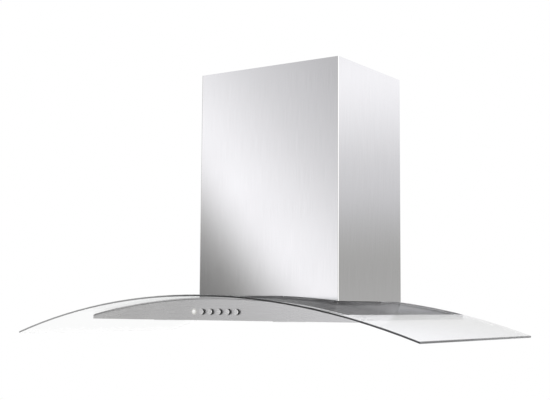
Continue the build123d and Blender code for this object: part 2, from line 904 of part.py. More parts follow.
with BuildPart() as motor_spider:
    with BuildSketch(Plane.YZ.offset(spider_x)):
        with Locations((blower_y, blower_z)):
            Circle(motor_radius + spider_ring)
            with PolarLocations(arm_centre_radius, len(foot_angles), start_angle=foot_angles[0]):
                Rectangle(arm_length, arm_width)
            Circle(motor_radius, mode=Mode.SUBTRACT)
        with Locations(*foot_places):
            Circle(foot_pad_radius)
            Circle(foot_hole_radius, mode=Mode.SUBTRACT)
    extrude(amount=spider_sheet)
    with BuildSketch(Plane.YZ.offset(spider_x)):
        with Locations((blower_y, blower_z)):
            Circle(motor_radius + spider_sheet)
            Circle(motor_radius, mode=Mode.SUBTRACT)
    extrude(amount=spider_collar)
save(motor_spider, "motor_spider")

with BuildPart() as motor_grommets:
    with BuildSketch(Plane.YZ.offset(casing_face)):
        with Locations(*foot_places):
            Circle(grommet_radius)
            Circle(foot_hole_radius, mode=Mode.SUBTRACT)
    extrude(amount=grommet_height)
save(motor_grommets, "motor_grommets")

with BuildPart() as motor_screws:
    for foot_y, foot_z in foot_places:
        seat = facing_side(spider_x + spider_sheet, foot_y, foot_z, 1)
        add(pan_head_screw(seat, foot_screw_length))
save(motor_screws, "motor_screws")

# Run capacitor and lamp transformer, fixed to the side walls of the chassis
chassis_inside = chassis_half - chassis_sheet
capacitor_radius = 17.5
capacitor_bottom = 75
capacitor_height = 62
capacitor_x = capacitor_radius - chassis_inside
capacitor_y = -206
terminal_spacing = 10
terminal_width = 6.3
terminal_thickness = 0.8
terminal_height = 8

with BuildPart() as run_capacitor:
    with BuildSketch(Plane.XY.offset(capacitor_bottom)):
        with Locations((capacitor_x, capacitor_y)):
            Circle(capacitor_radius)
    extrude(amount=capacitor_height)
    fillet(run_capacitor.edges().filter_by(GeomType.CIRCLE), 2)
    with BuildSketch(Plane.XY.offset(capacitor_bottom + capacitor_height)):
        with Locations((capacitor_x, capacitor_y)):
            with GridLocations(terminal_spacing, 0, 2, 1):
                Rectangle(terminal_width, terminal_thickness)
    extrude(amount=terminal_height)
save(run_capacitor, "run_capacitor")

transformer_width = 38
transformer_depth = 34
transformer_height = 60
transformer_bottom = 76
transformer_y = -208
transformer_corner = 3

with BuildPart() as lamp_transformer:
    with BuildSketch(Plane.XY.offset(transformer_bottom)):
        with Locations((chassis_inside - transformer_width / 2, transformer_y)):
            RectangleRounded(transformer_width, transformer_depth, transformer_corner)
    extrude(amount=transformer_height)
    fillet(lamp_transformer.faces().sort_by(Axis.Z)[-1].edges(), 2)
save(lamp_transformer, "lamp_transformer")

# ---------------------------------------------------------------- outlet collar and flaps

collar_flange_sheet = 2
ledge_radius = 67        # the flaps fall shut on this ledge
ledge_z = chassis_top + 7
ledge_thickness = 1.7
pin_radius = 2
pin_inset = 0.2          # each end of the pin, from the collar's outer face
pin_half_length = collar_outer_radius - pin_inset

# Plastic collar with the ledge and a bore right across it for the flap pin
with BuildPart() as outlet_collar:
    with BuildSketch(Plane.XY.offset(chassis_top)):
        with Locations((0, collar_y)):
            Circle(collar_flange_radius)
            Circle(collar_inner_radius, mode=Mode.SUBTRACT)
        with Locations(*collar_screw_places):
            Circle(cover_hole_radius, mode=Mode.SUBTRACT)
    extrude(amount=collar_flange_sheet)
    with BuildSketch(Plane.XY.offset(chassis_top)):
        with Locations((0, collar_y)):
            Circle(collar_outer_radius)
            Circle(collar_inner_radius, mode=Mode.SUBTRACT)
    extrude(amount=collar_height)
    with BuildSketch(Plane.XY.offset(ledge_z)):
        with Locations((0, collar_y)):
            Circle(collar_inner_radius + 0.5)
            Circle(ledge_radius, mode=Mode.SUBTRACT)
    extrude(amount=ledge_thickness)
    with BuildSketch(facing_side(-collar_outer_radius - 1, collar_y, flap_pin_z, 1)):
        Circle(pin_radius)
    extrude(amount=2 * collar_outer_radius + 2, mode=Mode.SUBTRACT)
save(outlet_collar, "outlet_collar")

with BuildPart() as flap_pin:
    with BuildSketch(facing_side(-pin_half_length, collar_y, flap_pin_z, 1)):
        Circle(pin_radius)
    extrude(amount=2 * pin_half_length)
save(flap_pin, "flap_pin")

# Two half-round flaps with interleaved knuckles on the pin
knuckle_radius = 4
knuckle_length = 24
knuckle_web = 6          # flat tongue from each knuckle to its flap
front_knuckles = (-58, 4)
rear_knuckles = (-28, 34)
flap_sheet = 1.2
flap_bottom_z = flap_pin_z - 1.8
flap_hinge_gap = 4.6

for flap_name, direction, knuckle_starts in (("front", -1, front_knuckles), ("rear", 1, rear_knuckles)):
    with BuildPart() as flap:
        with BuildSketch(Plane.XY.offset(flap_bottom_z)):
            with Locations((0, collar_y)):
                Circle(flap_radius)
            with Locations((0, collar_y - direction * (flap_radius - flap_hinge_gap))):
                Rectangle(3 * flap_radius, 2 * flap_radius, mode=Mode.SUBTRACT)
            for start in knuckle_starts:
                with Locations((start + knuckle_length / 2, collar_y + direction * knuckle_web / 2)):
                    Rectangle(knuckle_length, knuckle_web)
        extrude(amount=flap_sheet)
        for start in knuckle_starts:
            with BuildSketch(facing_side(start, collar_y, flap_pin_z, 1)):
                Circle(knuckle_radius)
            extrude(amount=knuckle_length)
        with BuildSketch(facing_side(-flap_radius, collar_y, flap_pin_z, 1)):
            Circle(pin_radius + running_clearance)
        extrude(amount=2 * flap_radius, mode=Mode.SUBTRACT)
    save(flap, f"flap_{flap_name}")

# M4 screws of the chassis: service cover, collar and blower mounting tabs
chassis_screw_length = 6

with BuildPart() as chassis_screws:
    for cover_x, cover_z in cover_screw_places:
        seat = facing_front(cover_x, -chassis_front - chassis_sheet, cover_z)
        add(pan_head_screw(seat, chassis_screw_length))
    for screw_x, screw_y in collar_screw_places:
        seat = Plane((screw_x, screw_y, chassis_top + collar_flange_sheet))
        add(pan_head_screw(seat, chassis_screw_length))
    for screw_x, screw_y in mount_screw_places:
        seat = Plane((screw_x, screw_y, chassis_top))
        add(pan_head_screw(seat, chassis_screw_length))
save(chassis_screws, "chassis_screws")

# Connection box on top of the chassis: a roof over one end holds the cable gland, a lid closes the rest
box_wall = 2
box_y = -37
box_width = 90
box_depth = 50
box_height = 34
box_corner = 4
box_top = chassis_top + box_height
roof_width = 34
roof_end = roof_width - box_width / 2
lid_lap = 2
lid_width = box_width / 2 - roof_end + lid_lap
gland_x = roof_end - roof_width / 2
gland_bore = 4.5
gland_thread_radius = 8
gland_hexagon_radius = 11.5
gland_hexagon_height = 5
gland_nut_height = 3
gland_tail = 6           # thread inside the box
gland_neck = 6           # from the roof to the domed cap
gland_cap_radius = 10
gland_cap_height = 11

with BuildPart() as connection_box:
    with BuildSketch(Plane.XY.offset(chassis_top)):
        with Locations((0, box_y)):
            RectangleRounded(box_width, box_depth, box_corner)
    extrude(amount=box_height)
    with BuildSketch(Plane.XY.offset(chassis_top + box_wall)):
        with Locations((0, box_y)):
            RectangleRounded(box_width - 2 * box_wall, box_depth - 2 * box_wall, box_corner - box_wall)
    extrude(amount=box_height - 2 * box_wall, mode=Mode.SUBTRACT)
    with BuildSketch(Plane.XY.offset(box_top)):
        with Locations((roof_end, box_y)):
            Rectangle(
                box_width - roof_width - box_wall,
                box_depth - 2 * box_wall,
                align=(Align.MIN, Align.CENTER),
            )
        with Locations((gland_x, box_y)):
            Circle(gland_thread_radius)
    extrude(amount=-box_wall, mode=Mode.SUBTRACT)
save(connection_box, "connection_box")

with BuildPart() as connection_box_lid:
    with BuildSketch(Plane.XY.offset(box_top)):
        with Locations((box_width / 2 - lid_width / 2, box_y)):
            RectangleRounded(lid_width, box_depth, box_corner)
    extrude(amount=box_wall)
    fillet(connection_box_lid.faces().sort_by(Axis.Z)[-1].edges(), 1)
save(connection_box_lid, "connection_box_lid")

with BuildPart() as cable_gland:
    with BuildSketch(Plane.XY.offset(box_top - gland_tail)):
        with Locations((gland_x, box_y)):
            Circle(gland_thread_radius)
    extrude(amount=gland_tail + gland_neck)
    with BuildSketch(Plane.XY.offset(box_top)):
        with Locations((gland_x, box_y)):
            RegularPolygon(gland_hexagon_radius, 6)
    extrude(amount=gland_hexagon_height)
    with BuildSketch(Plane.XY.offset(box_top + gland_neck)):
        with Locations((gland_x, box_y)):
            Circle(gland_cap_radius)
    extrude(amount=gland_cap_height)
    fillet(cable_gland.faces().sort_by(Axis.Z)[-1].edges(), 3)
    with BuildSketch(Plane.XY.offset(box_top - box_wall)):
        with Locations((gland_x, box_y)):
            RegularPolygon(gland_hexagon_radius, 6)
    extrude(amount=-gland_nut_height)
    with BuildSketch(Plane.XY.offset(chassis_top)):
        with Locations((gland_x, box_y)):
            Circle(gland_bore)
    extrude(amount=2 * box_height, mode=Mode.SUBTRACT)
save(cable_gland, "cable_gland")

# ---------------------------------------------------------------- grease filters and their latches

filter_depth = filter_front - filter_back
filter_centre_y = -(filter_front + filter_back) / 2
channel_width = 11
pocket_half = latch_width / 2 + 2
pocket_depth = 29
pocket_back_y = -filter_front + pocket_depth
slider_z = 5.5
slider_height = 2
tongue_width = 30
tongue_length = 2
guide_drop = 1.5         # the slider's rails are this far under it
guide_sheet = 1.2
slider_clearance = 0.3
rear_tab_width = 30
rear_tab_length = 7
rear_tab_x = 80          # from the filter's centre line
rear_tab_z = 1.3
mesh_gap = 0.3           # between the mesh pack and the channel
spring_radius = 2
spring_wire = 0.6
spring_x = 20
spring_z = 3
rib_foot = 0.5

for side, side_name in ((-1, "left"), (1, "right")):
    centre_x = side * filter_centre

    # folded C-section frame with the latch pocket in front and two tabs at the rear
    with BuildPart() as filter_frame:
        with BuildSketch():
            with Locations((centre_x, filter_centre_y)):
                Rectangle(filter_width, filter_depth)
        extrude(amount=filter_height)
        with BuildSketch(Plane.XY.offset(sheet)):
            with Locations((centre_x, filter_centre_y)):
                Rectangle(filter_width - 2 * sheet, filter_depth - 2 * sheet)
        extrude(amount=filter_height - 2 * sheet, mode=Mode.SUBTRACT)
        with BuildSketch():
            with Locations((centre_x, filter_centre_y)):
                Rectangle(filter_width - 2 * channel_width, filter_depth - 2 * channel_width)
        extrude(amount=filter_height, mode=Mode.SUBTRACT)
        with BuildSketch():
            with Locations((centre_x, -filter_front)):
                Rectangle(2 * pocket_half, pocket_depth, align=(Align.CENTER, Align.MIN))
        extrude(amount=filter_height - sheet)
        with BuildSketch():
            with Locations((centre_x, -filter_front + sheet)):
                Rectangle(
                    2 * (pocket_half - sheet),
                    pocket_depth - 2 * sheet,
                    align=(Align.CENTER, Align.MIN),
                )
        extrude(amount=filter_height - 2 * sheet, mode=Mode.SUBTRACT)
        with BuildSketch(Plane.XY.offset(slider_z - guide_drop)):
            for edge in (-1, 1):
                with Locations((centre_x + edge * (pocket_half - 1.5 * sheet), -filter_front + sheet)):
                    Rectangle(2 * sheet, pocket_depth - 2 * sheet, align=(Align.CENTER, Align.MIN))
        extrude(amount=guide_sheet)
        with BuildSketch(facing_front(centre_x, -filter_front, slider_z + slider_height / 2)):
            Rectangle(tongue_width + 2, slider_height + 0.8)
        extrude(amount=-sheet, mode=Mode.SUBTRACT)
        with BuildSketch(Plane.XY.offset(rear_tab_z)):
            for edge in (-1, 1):
                with Locations((centre_x + edge * rear_tab_x, -filter_back - sheet / 2)):
                    Rectangle(rear_tab_width, rear_tab_length, align=(Align.CENTER, Align.MIN))
        extrude(amount=guide_sheet)
    save(filter_frame, f"filter_frame_{side_name}")

    # pack of aluminium mesh held in the frame's channel
    with BuildPart() as filter_mesh:
        with BuildSketch(Plane.XY.offset(sheet + mesh_gap)):
            with Locations((centre_x, filter_centre_y)):
                Rectangle(filter_width - 3 * sheet, filter_depth - 3 * sheet)
            with Locations((centre_x, -filter_front)):
                Rectangle(
                    2 * pocket_half + 1,
                    pocket_depth + 0.5,
                    align=(Align.CENTER, Align.MIN),
                    mode=Mode.SUBTRACT,
                )
        extrude(amount=filter_height - 2 * sheet - 2 * mesh_gap)
    save(filter_mesh, f"filter_mesh_{side_name}")

    # sliding latch: plate with a finger rib behind and a tongue in front
    slider_front_y = -filter_front + sheet + slider_clearance
    with BuildPart() as filter_latch:
        with BuildSketch(Plane.XY.offset(slider_z)):
            with Locations((centre_x, slider_front_y)):
                Rectangle(latch_width, latch_depth, align=(Align.CENTER, Align.MIN))
            with Locations((centre_x, slider_front_y)):
                Rectangle(tongue_width, tongue_length, align=(Align.CENTER, Align.MAX))
        extrude(amount=slider_height)
        with BuildSketch(Plane.XY.offset(rib_foot)):
            with Locations((centre_x, slider_front_y + latch_depth)):
                Rectangle(latch_width - 4, 2, align=(Align.CENTER, Align.MAX))
        extrude(amount=slider_z)
    save(filter_latch, f"filter_latch_{side_name}")

    # two springs between the finger rib and the back of the pocket
    spring_start_y = slider_front_y + latch_depth
    with BuildPart() as latch_springs:
        for edge in (-1, 1):
            with BuildSketch(facing_front(centre_x + edge * spring_x, spring_start_y, spring_z)):
                Circle(spring_radius)
                Circle(spring_radius - spring_wire, mode=Mode.SUBTRACT)
            extrude(amount=-(pocket_back_y - sheet - spring_start_y))
    save(latch_springs, f"latch_springs_{side_name}")

# ---------------------------------------------------------------- switches and lamps

switch_front = 417
switch_back = 387
stem_radius = 2.5
stem_end = 405
bore_radius = 2.8
bore_end = 392
button_flange_radius = 6.3
flange_front_y = 422.6
flange_back_y = 421.4
cap_edge = 0.8
block_x = -2
block_width = 128
block_height = 22
block_corner = 2
post_radius = 2.4
post_places = [(-62, button_height), (59, button_height + 7)]

# Switch block with a bore for each button stem, on two posts behind the front panel
with BuildPart() as switch_housing:
    with BuildSketch(Plane.XZ.offset(switch_front)):
        with Locations((block_x, button_height)):
            RectangleRounded(block_width, block_height, block_corner)
        with Locations(*[(x, button_height) for x in button_xs]):
            Circle(bore_radius, mode=Mode.SUBTRACT)
    extrude(amount=-(switch_front - bore_end))
    with BuildSketch(Plane.XZ.offset(bore_end)):
        with Locations((block_x, button_height)):
            RectangleRounded(block_width, block_height, block_corner)
    extrude(amount=-(bore_end - switch_back))
    with BuildSketch(Plane.XZ.offset(canopy_depth - sheet)):
        with Locations(*post_places):
            Circle(post_radius)
    extrude(amount=-(canopy_depth - sheet - switch_front))
save(switch_housing, "switch_housing")

# Five push buttons: round cap, retaining flange and stem
button_names = ("light", "off", "speed_1", "speed_2", "speed_3")
for button_x, button_name in zip(button_xs, button_names):
    with BuildPart() as button:
        with BuildSketch(Plane.XZ.offset(canopy_depth + button_proud)):
            with Locations((button_x, button_height)):
                Circle(button_radius)
        extrude(amount=-(canopy_depth + button_proud - flange_front_y))
        fillet(button.edges().filter_by(GeomType.CIRCLE).sort_by(Axis.Y)[:1], cap_edge)
        with BuildSketch(Plane.XZ.offset(flange_front_y)):
            with Locations((button_x, button_height)):
                Circle(button_flange_radius)
        extrude(amount=-(flange_front_y - flange_back_y))
        with BuildSketch(Plane.XZ.offset(flange_back_y)):
            with Locations((button_x, button_height)):
                Circle(stem_radius)
        extrude(amount=-(flange_back_y - stem_end))
    save(button, f"button_{button_name}")

button_spring_radius = 2.4
button_spring_wire = 0.5

with BuildPart() as button_springs:
    with BuildSketch(Plane.XZ.offset(stem_end)):
        with Locations(*[(x, button_height) for x in button_xs]):
            Circle(button_spring_radius)
            Circle(button_spring_radius - button_spring_wire, mode=Mode.SUBTRACT)
    extrude(amount=-(stem_end - bore_end))
save(button_springs, "button_springs")

# Pilot lamp's domed lens, standing out of the panel
pilot_proud = 2.5
pilot_edge = 2.2

with BuildPart() as indicator_lens:
    with BuildSketch(Plane.XZ.offset(canopy_depth + pilot_proud)):
        with Locations((pilot_x, button_height)):
            Circle(pilot_radius)
    extrude(amount=-(canopy_depth + pilot_proud - switch_front))
    fillet(indicator_lens.edges().filter_by(GeomType.CIRCLE).sort_by(Axis.Y)[:1], pilot_edge)
save(indicator_lens, "indicator_lens")

# Halogen lamps: pressed reflector housing on the tray, lens lying on the edge of the tray's hole
lamp_radius = 33
lens_radius = 28
lens_height = 3
lamp_height = 24
reflector_mouth = 25
reflector_belly = (18, 13)
socket_wall = 20
bulb_radius = 4.5
bulb_bottom = 9
bulb_length = 16
bulb_nose = 3.5
socket_radius = bulb_radius + 0.2
socket_bottom = lamp_height - 3
rim_radius = lens_radius + 0.3
rim_z = lens_height + 0.3

for side, side_name in ((-1, "left"), (1, "right")):
    with BuildPart() as lamp_housing:
        with BuildSketch(facing_front(side * lamp_spacing, lamp_y, sheet)):
            with BuildLine():
                Polyline(
                    (rim_radius, 0),
                    (lamp_radius, 0),
                    (lamp_radius, 2),
                    (lamp_radius - 3, 3),
                    (socket_wall, lamp_height),
                    (socket_radius, lamp_height),
                    (socket_radius, socket_bottom),
                )
                ThreePointArc(
                    (socket_radius, socket_bottom),
                    reflector_belly,
                    (reflector_mouth, rim_z),
                )
                Polyline(
                    (reflector_mouth, rim_z),
                    (rim_radius, rim_z),
                    (rim_radius, 0),
                )
            make_face()
        revolve(axis=Axis((side * lamp_spacing, lamp_y, 0), (0, 0, 1)))
    save(lamp_housing, f"lamp_housing_{side_name}")

with BuildPart() as lamp_lenses:
    with BuildSketch(Plane.XY.offset(sheet)):
        with Locations((-lamp_spacing, lamp_y), (lamp_spacing, lamp_y)):
            Circle(lens_radius)
    extrude(amount=lens_height)
save(lamp_lenses, "lamp_lenses")

with BuildPart() as lamp_bulbs:
    with BuildSketch(Plane.XY.offset(bulb_bottom)):
        with Locations((-lamp_spacing, lamp_y), (lamp_spacing, lamp_y)):
            Circle(bulb_radius)
    extrude(amount=bulb_length)
    fillet(lamp_bulbs.edges().filter_by(GeomType.CIRCLE).group_by(Axis.Z)[0], bulb_nose)
save(lamp_bulbs, "lamp_bulbs")
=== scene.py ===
import math

import bpy
from mathutils import Matrix, Vector


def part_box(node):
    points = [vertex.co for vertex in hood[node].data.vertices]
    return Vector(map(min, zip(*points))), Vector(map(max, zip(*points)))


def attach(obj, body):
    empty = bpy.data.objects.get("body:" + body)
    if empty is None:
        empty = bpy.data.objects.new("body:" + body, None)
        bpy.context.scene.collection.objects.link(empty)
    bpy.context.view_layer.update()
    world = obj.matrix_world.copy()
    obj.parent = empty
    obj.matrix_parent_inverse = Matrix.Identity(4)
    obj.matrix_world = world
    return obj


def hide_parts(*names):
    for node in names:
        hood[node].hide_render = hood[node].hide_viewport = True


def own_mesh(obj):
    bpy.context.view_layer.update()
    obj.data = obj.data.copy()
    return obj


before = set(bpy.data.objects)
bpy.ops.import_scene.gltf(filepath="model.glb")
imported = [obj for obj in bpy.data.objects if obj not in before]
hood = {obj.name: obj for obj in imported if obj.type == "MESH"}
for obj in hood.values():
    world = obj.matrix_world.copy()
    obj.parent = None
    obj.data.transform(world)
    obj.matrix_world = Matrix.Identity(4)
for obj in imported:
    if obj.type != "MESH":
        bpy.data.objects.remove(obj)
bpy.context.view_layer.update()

# ---------------------------------------------------------------- camera
# The hood is seen from the right and from the height of its underside, so the underside itself is hidden.
# The angle and the lens come from the edges of the glass, the chimney and the steel body in the picture.
camera_place = Vector((1.1786, -1.986, 0.0256))
camera_turn = 0.5906
camera_tilt = 0.1019
camera_roll = 0.0068
picture_width_px = 550
focal_length_px = 1046.4

lens = bpy.data.cameras.new("picture_lens")
lens.sensor_width = 36
lens.lens = focal_length_px / picture_width_px * lens.sensor_width
lens.clip_start = 0.05
lens.clip_end = 60
camera = bpy.data.objects.new("picture_camera", lens)
camera.matrix_world = (
    Matrix.Translation(camera_place)
    @ Matrix.Rotation(camera_turn, 4, "Z")
    @ Matrix.Rotation(math.pi / 2 + camera_tilt, 4, "X")
    @ Matrix.Rotation(camera_roll, 4, "Z")
)
bpy.context.scene.collection.objects.link(camera)
bpy.context.scene.camera = camera
bpy.context.scene.view_settings.view_transform = "Standard"

# ---------------------------------------------------------------- studio
# A white sweep all round. What steel and glass mirror of it is graded: a slanting bright band in front on the
# left, a tall soft light in front on the right, and a grey foot that brightens upwards behind.
floor_depth = 2.4
floor_size = 14
floor_white = (0.86, 0.86, 0.86, 1)
floor_rough = 0.9
white = (1, 1, 1, 1)
band_axis = Vector((0.693, -0.382, 0.611))   # across the slanting band
band_low = -0.25
band_high = 0.25
front_sweep = [
    (0.00, 0.70),
    (0.14, 0.62),
    (0.23, 0.26),
    (0.30, 0.30),
    (0.35, 0.58),
    (0.42, 1.44),
    (0.475, 1.36),
    (0.57, 1.06),
    (0.72, 0.75),
    (1.0, 0.60),
]
right_light = 1.9
back_low = -0.10
back_high = 0.40
side_sweep = [
    (0.00, 0.68),
    (0.22, 0.57),
    (0.31, 0.57),
    (0.40, 0.80),
    (0.50, 1.00),
    (0.63, 1.33),
    (0.70, 1.20),
    (0.80, 0.85),
    (1.0, 0.80),
]
wing_sweep = [
    (0.00, 0.50),
    (0.34, 0.60),
    (0.46, 0.92),
    (0.54, 0.80),
    (0.62, 0.68),
    (0.72, 0.78),
    (0.82, 1.00),
    (1.0, 0.95),
]
brightest = 2                                # the ramps hold shares of this
blue_from = 0.35                             # shares above this are a little blue
blue_cast = 1.04
overhead = 1.0
fill_light = 0.92                            # what matt surfaces receive from the sweep
# how far each part reaches, as the direction's own x, y and z
right_light_from = 0.1
right_light_full = 0.35
side_border = 0.15                           # either side of x = 0, behind
front_border = 0.25                          # either side of y = 0
overhead_from = 0.35
overhead_full = 0.75


def grey_ramp(tree, value, low, high, steps):
    """Greys along a range of directions, very slightly blue where they are bright."""
    stretch = tree.nodes.new("ShaderNodeMapRange")
    stretch.inputs["From Min"].default_value = low
    stretch.inputs["From Max"].default_value = high
    ramp = tree.nodes.new("ShaderNodeValToRGB")
    ramp.color_ramp.interpolation = "CARDINAL"
    while len(ramp.color_ramp.elements) < len(steps):
        ramp.color_ramp.elements.new(0.5)
    for element, (place, grey) in zip(ramp.color_ramp.elements, steps):
        element.position = place
        grey /= brightest
        blue = blue_cast if grey > blue_from else 1
        element.color = (grey, grey, grey * blue, 1)
    brighten = tree.nodes.new("ShaderNodeVectorMath")
    brighten.operation = "SCALE"
    brighten.inputs["Scale"].default_value = brightest
    tree.links.new(value, stretch.inputs["Value"])
    tree.links.new(stretch.outputs["Result"], ramp.inputs["Fac"])
    tree.links.new(ramp.outputs["Color"], brighten.inputs[0])
    return brighten.outputs["Vector"]


def share(tree, value, start, end):
    """A soft step from 0 at start to 1 at end."""
    step = tree.nodes.new("ShaderNodeMapRange")
    step.interpolation_type = "SMOOTHSTEP"
    step.inputs["From Min"].default_value = start
    step.inputs["From Max"].default_value = end
    tree.links.new(value, step.inputs["Value"])
    return step.outputs["Result"]


def blend_colours(tree, factor, first, second):
    """First colour where the factor is 0, second where it is 1."""
    mix = tree.nodes.new("ShaderNodeMix")
    mix.data_type = "RGBA"
    tree.links.new(factor, mix.inputs["Factor"])
    for socket, colour in ((mix.inputs[6], first), (mix.inputs[7], second)):
        if isinstance(colour, tuple):
            socket.default_value = colour
        else:
            tree.links.new(colour, socket)
    return mix.outputs[2]


sweep = bpy.data.worlds.new("white_sweep")
sweep.use_nodes = True
bpy.context.scene.world = sweep
sky = sweep.node_tree
sky.nodes.clear()
direction = sky.nodes.new("ShaderNodeTexCoord").outputs["Generated"]
along = sky.nodes.new("ShaderNodeSeparateXYZ")
sky.links.new(direction, along.inputs["Vector"])
slant = sky.nodes.new("ShaderNodeVectorMath")
slant.operation = "DOT_PRODUCT"
slant.inputs[1].default_value = band_axis
sky.links.new(direction, slant.inputs[0])
front = grey_ramp(sky, slant.outputs["Value"], band_low, band_high, front_sweep)
right_grey = (right_light, right_light, right_light, 1)
on_right = share(sky, along.outputs["X"], right_light_from, right_light_full)
front = blend_colours(sky, on_right, front, right_grey)
side = grey_ramp(sky, along.outputs["Z"], back_low, back_high, side_sweep)
wing = grey_ramp(sky, along.outputs["Z"], back_low, back_high, wing_sweep)
behind_right = share(sky, along.outputs["X"], -side_border, side_border)
back = blend_colours(sky, behind_right, wing, side)
behind = share(sky, along.outputs["Y"], -front_border, front_border)
around = blend_colours(sky, behind, front, back)
top_grey = (overhead, overhead, overhead, 1)
above = share(sky, along.outputs["Z"], overhead_from, overhead_full)
mirrored = blend_colours(sky, above, around, top_grey)
ray = sky.nodes.new("ShaderNodeLightPath")
fill_grey = (fill_light, fill_light, fill_light, 1)
seen = blend_colours(sky, ray.outputs["Is Glossy Ray"], fill_grey, mirrored)
through = sky.nodes.new("ShaderNodeMath")
through.operation = "MAXIMUM"
sky.links.new(ray.outputs["Is Camera Ray"], through.inputs[0])
sky.links.new(ray.outputs["Is Transmission Ray"], through.inputs[1])
seen = blend_colours(sky, through.outputs["Value"], seen, white)
background = sky.nodes.new("ShaderNodeBackground")
world_output = sky.nodes.new("ShaderNodeOutputWorld")
sky.links.new(seen, background.inputs["Color"])
sky.links.new(background.outputs["Background"], world_output.inputs["Surface"])

floor_mesh = bpy.data.meshes.new("floor")
half = floor_size / 2
corners = [(-half, -half, 0), (half, -half, 0), (half, half, 0), (-half, half, 0)]
floor_mesh.from_pydata(corners, [], [(0, 1, 2, 3)])
floor = bpy.data.objects.new("floor", floor_mesh)
floor.location = (0, 0, -floor_depth)
bpy.context.scene.collection.objects.link(floor)
floor_paint = bpy.data.materials.new("floor_paint")
floor_paint.use_nodes = True
floor_paint.node_tree.nodes["Principled BSDF"].inputs["Base Color"].default_value = floor_white
floor_paint.node_tree.nodes["Principled BSDF"].inputs["Roughness"].default_value = floor_rough
floor_mirrored = floor_paint.node_tree.nodes.new("ShaderNodeEmission")
floor_ray = floor_paint.node_tree.nodes.new("ShaderNodeLightPath")
floor_mix = floor_paint.node_tree.nodes.new("ShaderNodeMixShader")
floor_links = floor_paint.node_tree.links
floor_links.new(floor_ray.outputs["Is Glossy Ray"], floor_mix.inputs["Fac"])
floor_links.new(floor_paint.node_tree.nodes["Principled BSDF"].outputs["BSDF"], floor_mix.inputs[1])
floor_links.new(floor_mirrored.outputs["Emission"], floor_mix.inputs[2])
floor_links.new(floor_mix.outputs["Shader"], floor_paint.node_tree.nodes["Material Output"].inputs["Surface"])
floor_mesh.materials.append(floor_paint)

key_place = (-1.6, -2.2, 1.5)
key_size = 1.8
key_power = 18
key = bpy.data.lights.new("key_softbox", "AREA")
key.shape = "SQUARE"
key.size = key_size
key.energy = key_power
key_lamp = bpy.data.objects.new("key_softbox", key)
key_lamp.location = key_place
key_lamp.rotation_euler = (-Vector(key_place)).to_track_quat("-Z", "Y").to_euler()
key_lamp.visible_camera = False
key_lamp.visible_glossy = False
key_lamp.visible_transmission = False
bpy.context.scene.collection.objects.link(key_lamp)

# ---------------------------------------------------------------- glass canopy
# One sheet of 4 mm float glass, bent hot to the arc and tempered, with all its edges ground smooth. Seen flat
# it is clear; seen through its edge it is dark, partly because the light then crosses half a metre of tinted
# glass and partly from a painted shade, near black, on the edges, with a little painted light on the left of
# the front edge and on the right end. It lies on the rubber and is clamped by four bolts.
glass_index = 1.5
glass_tint = (0.75, 0.79, 0.78, 1)
glass_density = 3
smear_size = 0.09
smear_rough = 0.025
front_edge_painted_light = 0.09                            # painted light: grey of the front edge left of the x below
front_edge_painted_light_end = -0.13
front_edge_painted_shade = 0.001                            # painted shade: grey of the front edge right of the x below
front_edge_painted_shade_start = 0.08
edge_rough = 0.3
# painted light: grey of the right end's edge
end_edge_painted_light = 0.06
edge_upright = (0.85, 0.5)                   # a face belongs to the edge as its normal's z falls through this
end_upright = (0.8, 0.95)                    # and to the right end as its normal's x rises through this
over_or_under = (-0.5, 0.5)                  # the normal's z, from the lower face to the upper one
border = 0.002                               # width of the change from one stretch to the next
body_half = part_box("canopy_top_plate")[1].x
body_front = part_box("front_panel")[0].y
chimney_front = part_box("chimney_lower")[0].y
chimney_reach = 0.04                         # half the change from before the chimney to beside it
# how much of each stretch of the sheet shows as glass, the rest as clear air
above_share = 0.88                           # the free ends, lit from above
below_share = 0.05                           # the free ends, seen from below
overhang_share = 0.08                        # in front of the steel body
rubber_share = 0.16                          # on black rubber, in front of the chimney
beside_share = 0.30                          # on black rubber, beside the chimney


def finish(name):
    """A new material: its node tree and its main shader."""
    material = bpy.data.materials.new(name)
    material.use_nodes = True
    return material, material.node_tree, material.node_tree.nodes["Principled BSDF"]


def wear(material, *node_names):
    """Give a finish to CAD nodes and name their slots."""
    for node_name in node_names:
        node = hood[node_name]
        node.data.materials.clear()
        node.data.materials.append(material)


def grain(tree, size, stretch=(1, 1, 1), detail=2.0):
    """Noise fixed to the piece, with spots of this size in metres, drawn out along some axes."""
    place = tree.nodes.new("ShaderNodeTexCoord")
    mapping = tree.nodes.new("ShaderNodeMapping")
    mapping.inputs["Scale"].default_value = [1 / (size * s) for s in stretch]
    noise = tree.nodes.new("ShaderNodeTexNoise")
    noise.inputs["Scale"].default_value = 1
    noise.inputs["Detail"].default_value = detail
    tree.links.new(place.outputs["Object"], mapping.inputs["Vector"])
    tree.links.new(mapping.outputs["Vector"], noise.inputs["Vector"])
    return noise.outputs["Fac"]


def between(tree, value, low, high, start=0.3, end=0.7):
    """The value from start to end spread over the range from low to high."""
    spread = tree.nodes.new("ShaderNodeMapRange")
    spread.inputs["From Min"].default_value = start
    spread.inputs["From Max"].default_value = end
    spread.inputs["To Min"].default_value = low
    spread.inputs["To Max"].default_value = high
    tree.links.new(value, spread.inputs["Value"])
    return spread.outputs["Result"]


glass, glass_tree, glass_shader = finish("clear_float_glass")
glass_shader.inputs["IOR"].default_value = glass_index
glass_shader.inputs["Transmission Weight"].default_value = 1
glass_smears = between(glass_tree, grain(glass_tree, smear_size, detail=4), 0.0, smear_rough)
glass_place = glass_tree.nodes.new("ShaderNodeTexCoord")
spot = glass_tree.nodes.new("ShaderNodeSeparateXYZ")
facing = glass_tree.nodes.new("ShaderNodeSeparateXYZ")
glass_tree.links.new(glass_place.outputs["Object"], spot.inputs["Vector"])
glass_tree.links.new(glass_place.outputs["Normal"], facing.inputs["Vector"])


